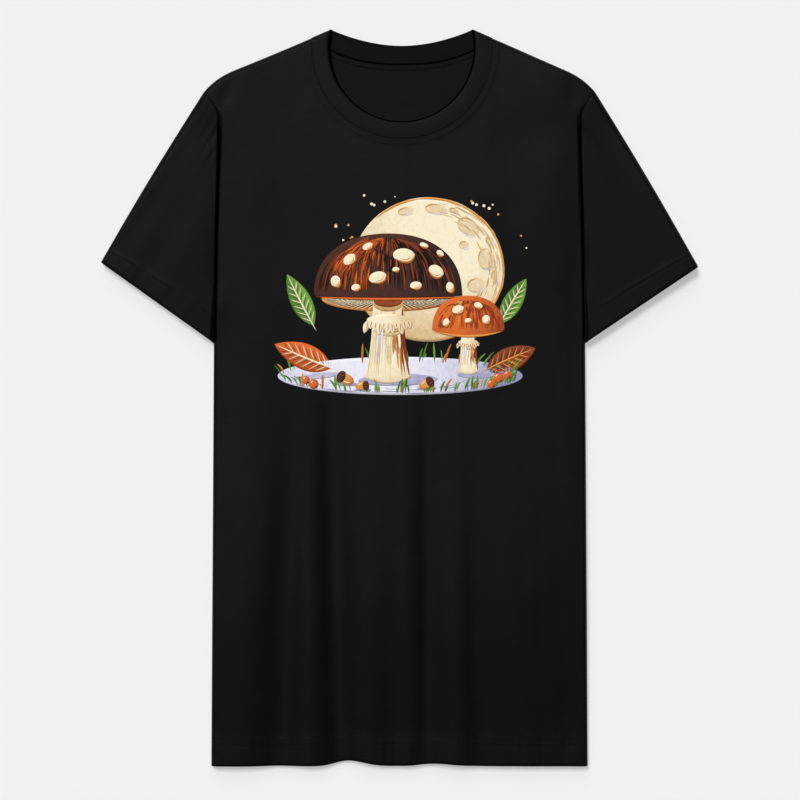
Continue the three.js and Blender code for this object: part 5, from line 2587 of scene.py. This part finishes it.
def keep(piece: bpy.types.Object, finish: bpy.types.Material, slot: str, *nodes: str) -> bpy.types.Object:
    """Dress a piece, let it ride on the shirt, and hide the CAD nodes that it stands for.

    Args:
        piece: The piece.
        finish: The finish.
        slot: The material slot. Not used.
        nodes: The CAD nodes that the piece stands for.

    Returns:
        The piece.
    """
    piece.data.materials.append(finish)
    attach(piece, "root")
    if nodes:
        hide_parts(*nodes)
    LOG.info("%s: %d faces", piece.name, len(piece.data.polygons))
    return piece


def sew(
    name: str, slot: str, rows: Sequence[Sequence[Vector]], thread: bpy.types.Material
) -> bpy.types.Object:
    """Sew rows of stitches as one piece, and dress it in thread."""
    return keep(Stitches(name, slot).build(rows), thread, slot)


def paint_crease_shade(piece: bpy.types.Object, finish: bpy.types.Material) -> None:
    """Paint shade on the faces at the very bottom of a piece's creases: dress them in a pure black finish
    that stands for the shade no light gets into.

    Args:
        piece: The piece.
        finish: The finish.
    """
    piece.data.materials.append(finish)
    shades = piece.data.attributes["shade"].data
    for face in piece.data.polygons:
        if min(shades[corner].value for corner in face.vertices) > 0.55:
            face.material_index = 1


def write_sizes() -> None:
    """Work out the box of the CAD model and the box of the dressed one."""
    boxes = {"cad": CAD_BOX, "visual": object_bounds()}
    plain = {name: [[float(v) for v in corner] for corner in box] for name, box in boxes.items()}


def main() -> None:
    """Build the shirt piece by piece, and its studio."""
    logging.basicConfig(level=logging.INFO, format="%(name)s: %(message)s")
    Studio().build()
    jersey = Jersey().make()
    rib = Jersey(name="cotton_rib_black", knit=Knit(1.1, 0.8, 0.07), specular=0.065).make()
    twill = Twill().make()
    thread = Thread().make()
    front = keep(BodyPanel(Layer.FRONT).build(), jersey, "jersey", "front_panel")
    back = keep(BodyPanel(Layer.BACK).build(), jersey, "jersey", "back_panel")
    left, right = Sleeve(Side.LEFT), Sleeve(Side.RIGHT, swell=5.2, cap_rise=0.0, lean=0.065)
    sleeve_left = keep(left.build(), jersey, "jersey", "sleeve_left")
    sleeve_right = keep(right.build(), jersey, "jersey", "sleeve_right")
    band = keep(Neckband().build(), rib, "rib", "neckband")
    # Pure black with no gloss: painted shade at the bottom of the creases, and the finish of the overlocked
    # seams that lie there.
    overlock_and_crease_shade = Jersey("cotton_overlock_black", "#000000", "#010101", 0.9, 0.0, sheen=0.0).make()
    for piece in (front, sleeve_left, sleeve_right, band):
        paint_crease_shade(piece, overlock_and_crease_shade)
    seam_left = keep(ArmholeSeam(Side.LEFT).build(), overlock_and_crease_shade, "jersey")
    seam_right = keep(ArmholeSeam(Side.RIGHT).build(), overlock_and_crease_shade, "jersey")
    tape = keep(NeckTape().build(), twill, "neck_tape", "neck_tape")
    inks = Woodland().paint().build()
    rows = SeamRows()
    neck_stitches = sew("neck_stitches", "jersey", rows.neck(), thread)
    tape_stitches = sew("tape_stitches", "neck_tape", rows.tape(NeckTape()), thread)
    hem_front = sew("hem_stitches_front", "jersey", rows.body_hem(Layer.FRONT), thread)
    hem_back = sew("hem_stitches_back", "jersey", rows.body_hem(Layer.BACK), thread)
    hem_left = sew("sleeve_stitches_left", "jersey", rows.sleeve_hem(left), thread)
    hem_right = sew("sleeve_stitches_right", "jersey", rows.sleeve_hem(right), thread)
    body_flat, sleeve_flat, on_table = (0.392, 0.764), (0.31, 0.21), ["table_top"]
    back.name
    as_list(on_table)
    for sleeve, hem, seam in ((sleeve_left, hem_left, seam_left), (sleeve_right, hem_right, seam_right)):
        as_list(on_table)
    back.name
    back.name
    write_sizes()


if __name__ == "__main__":
    main()
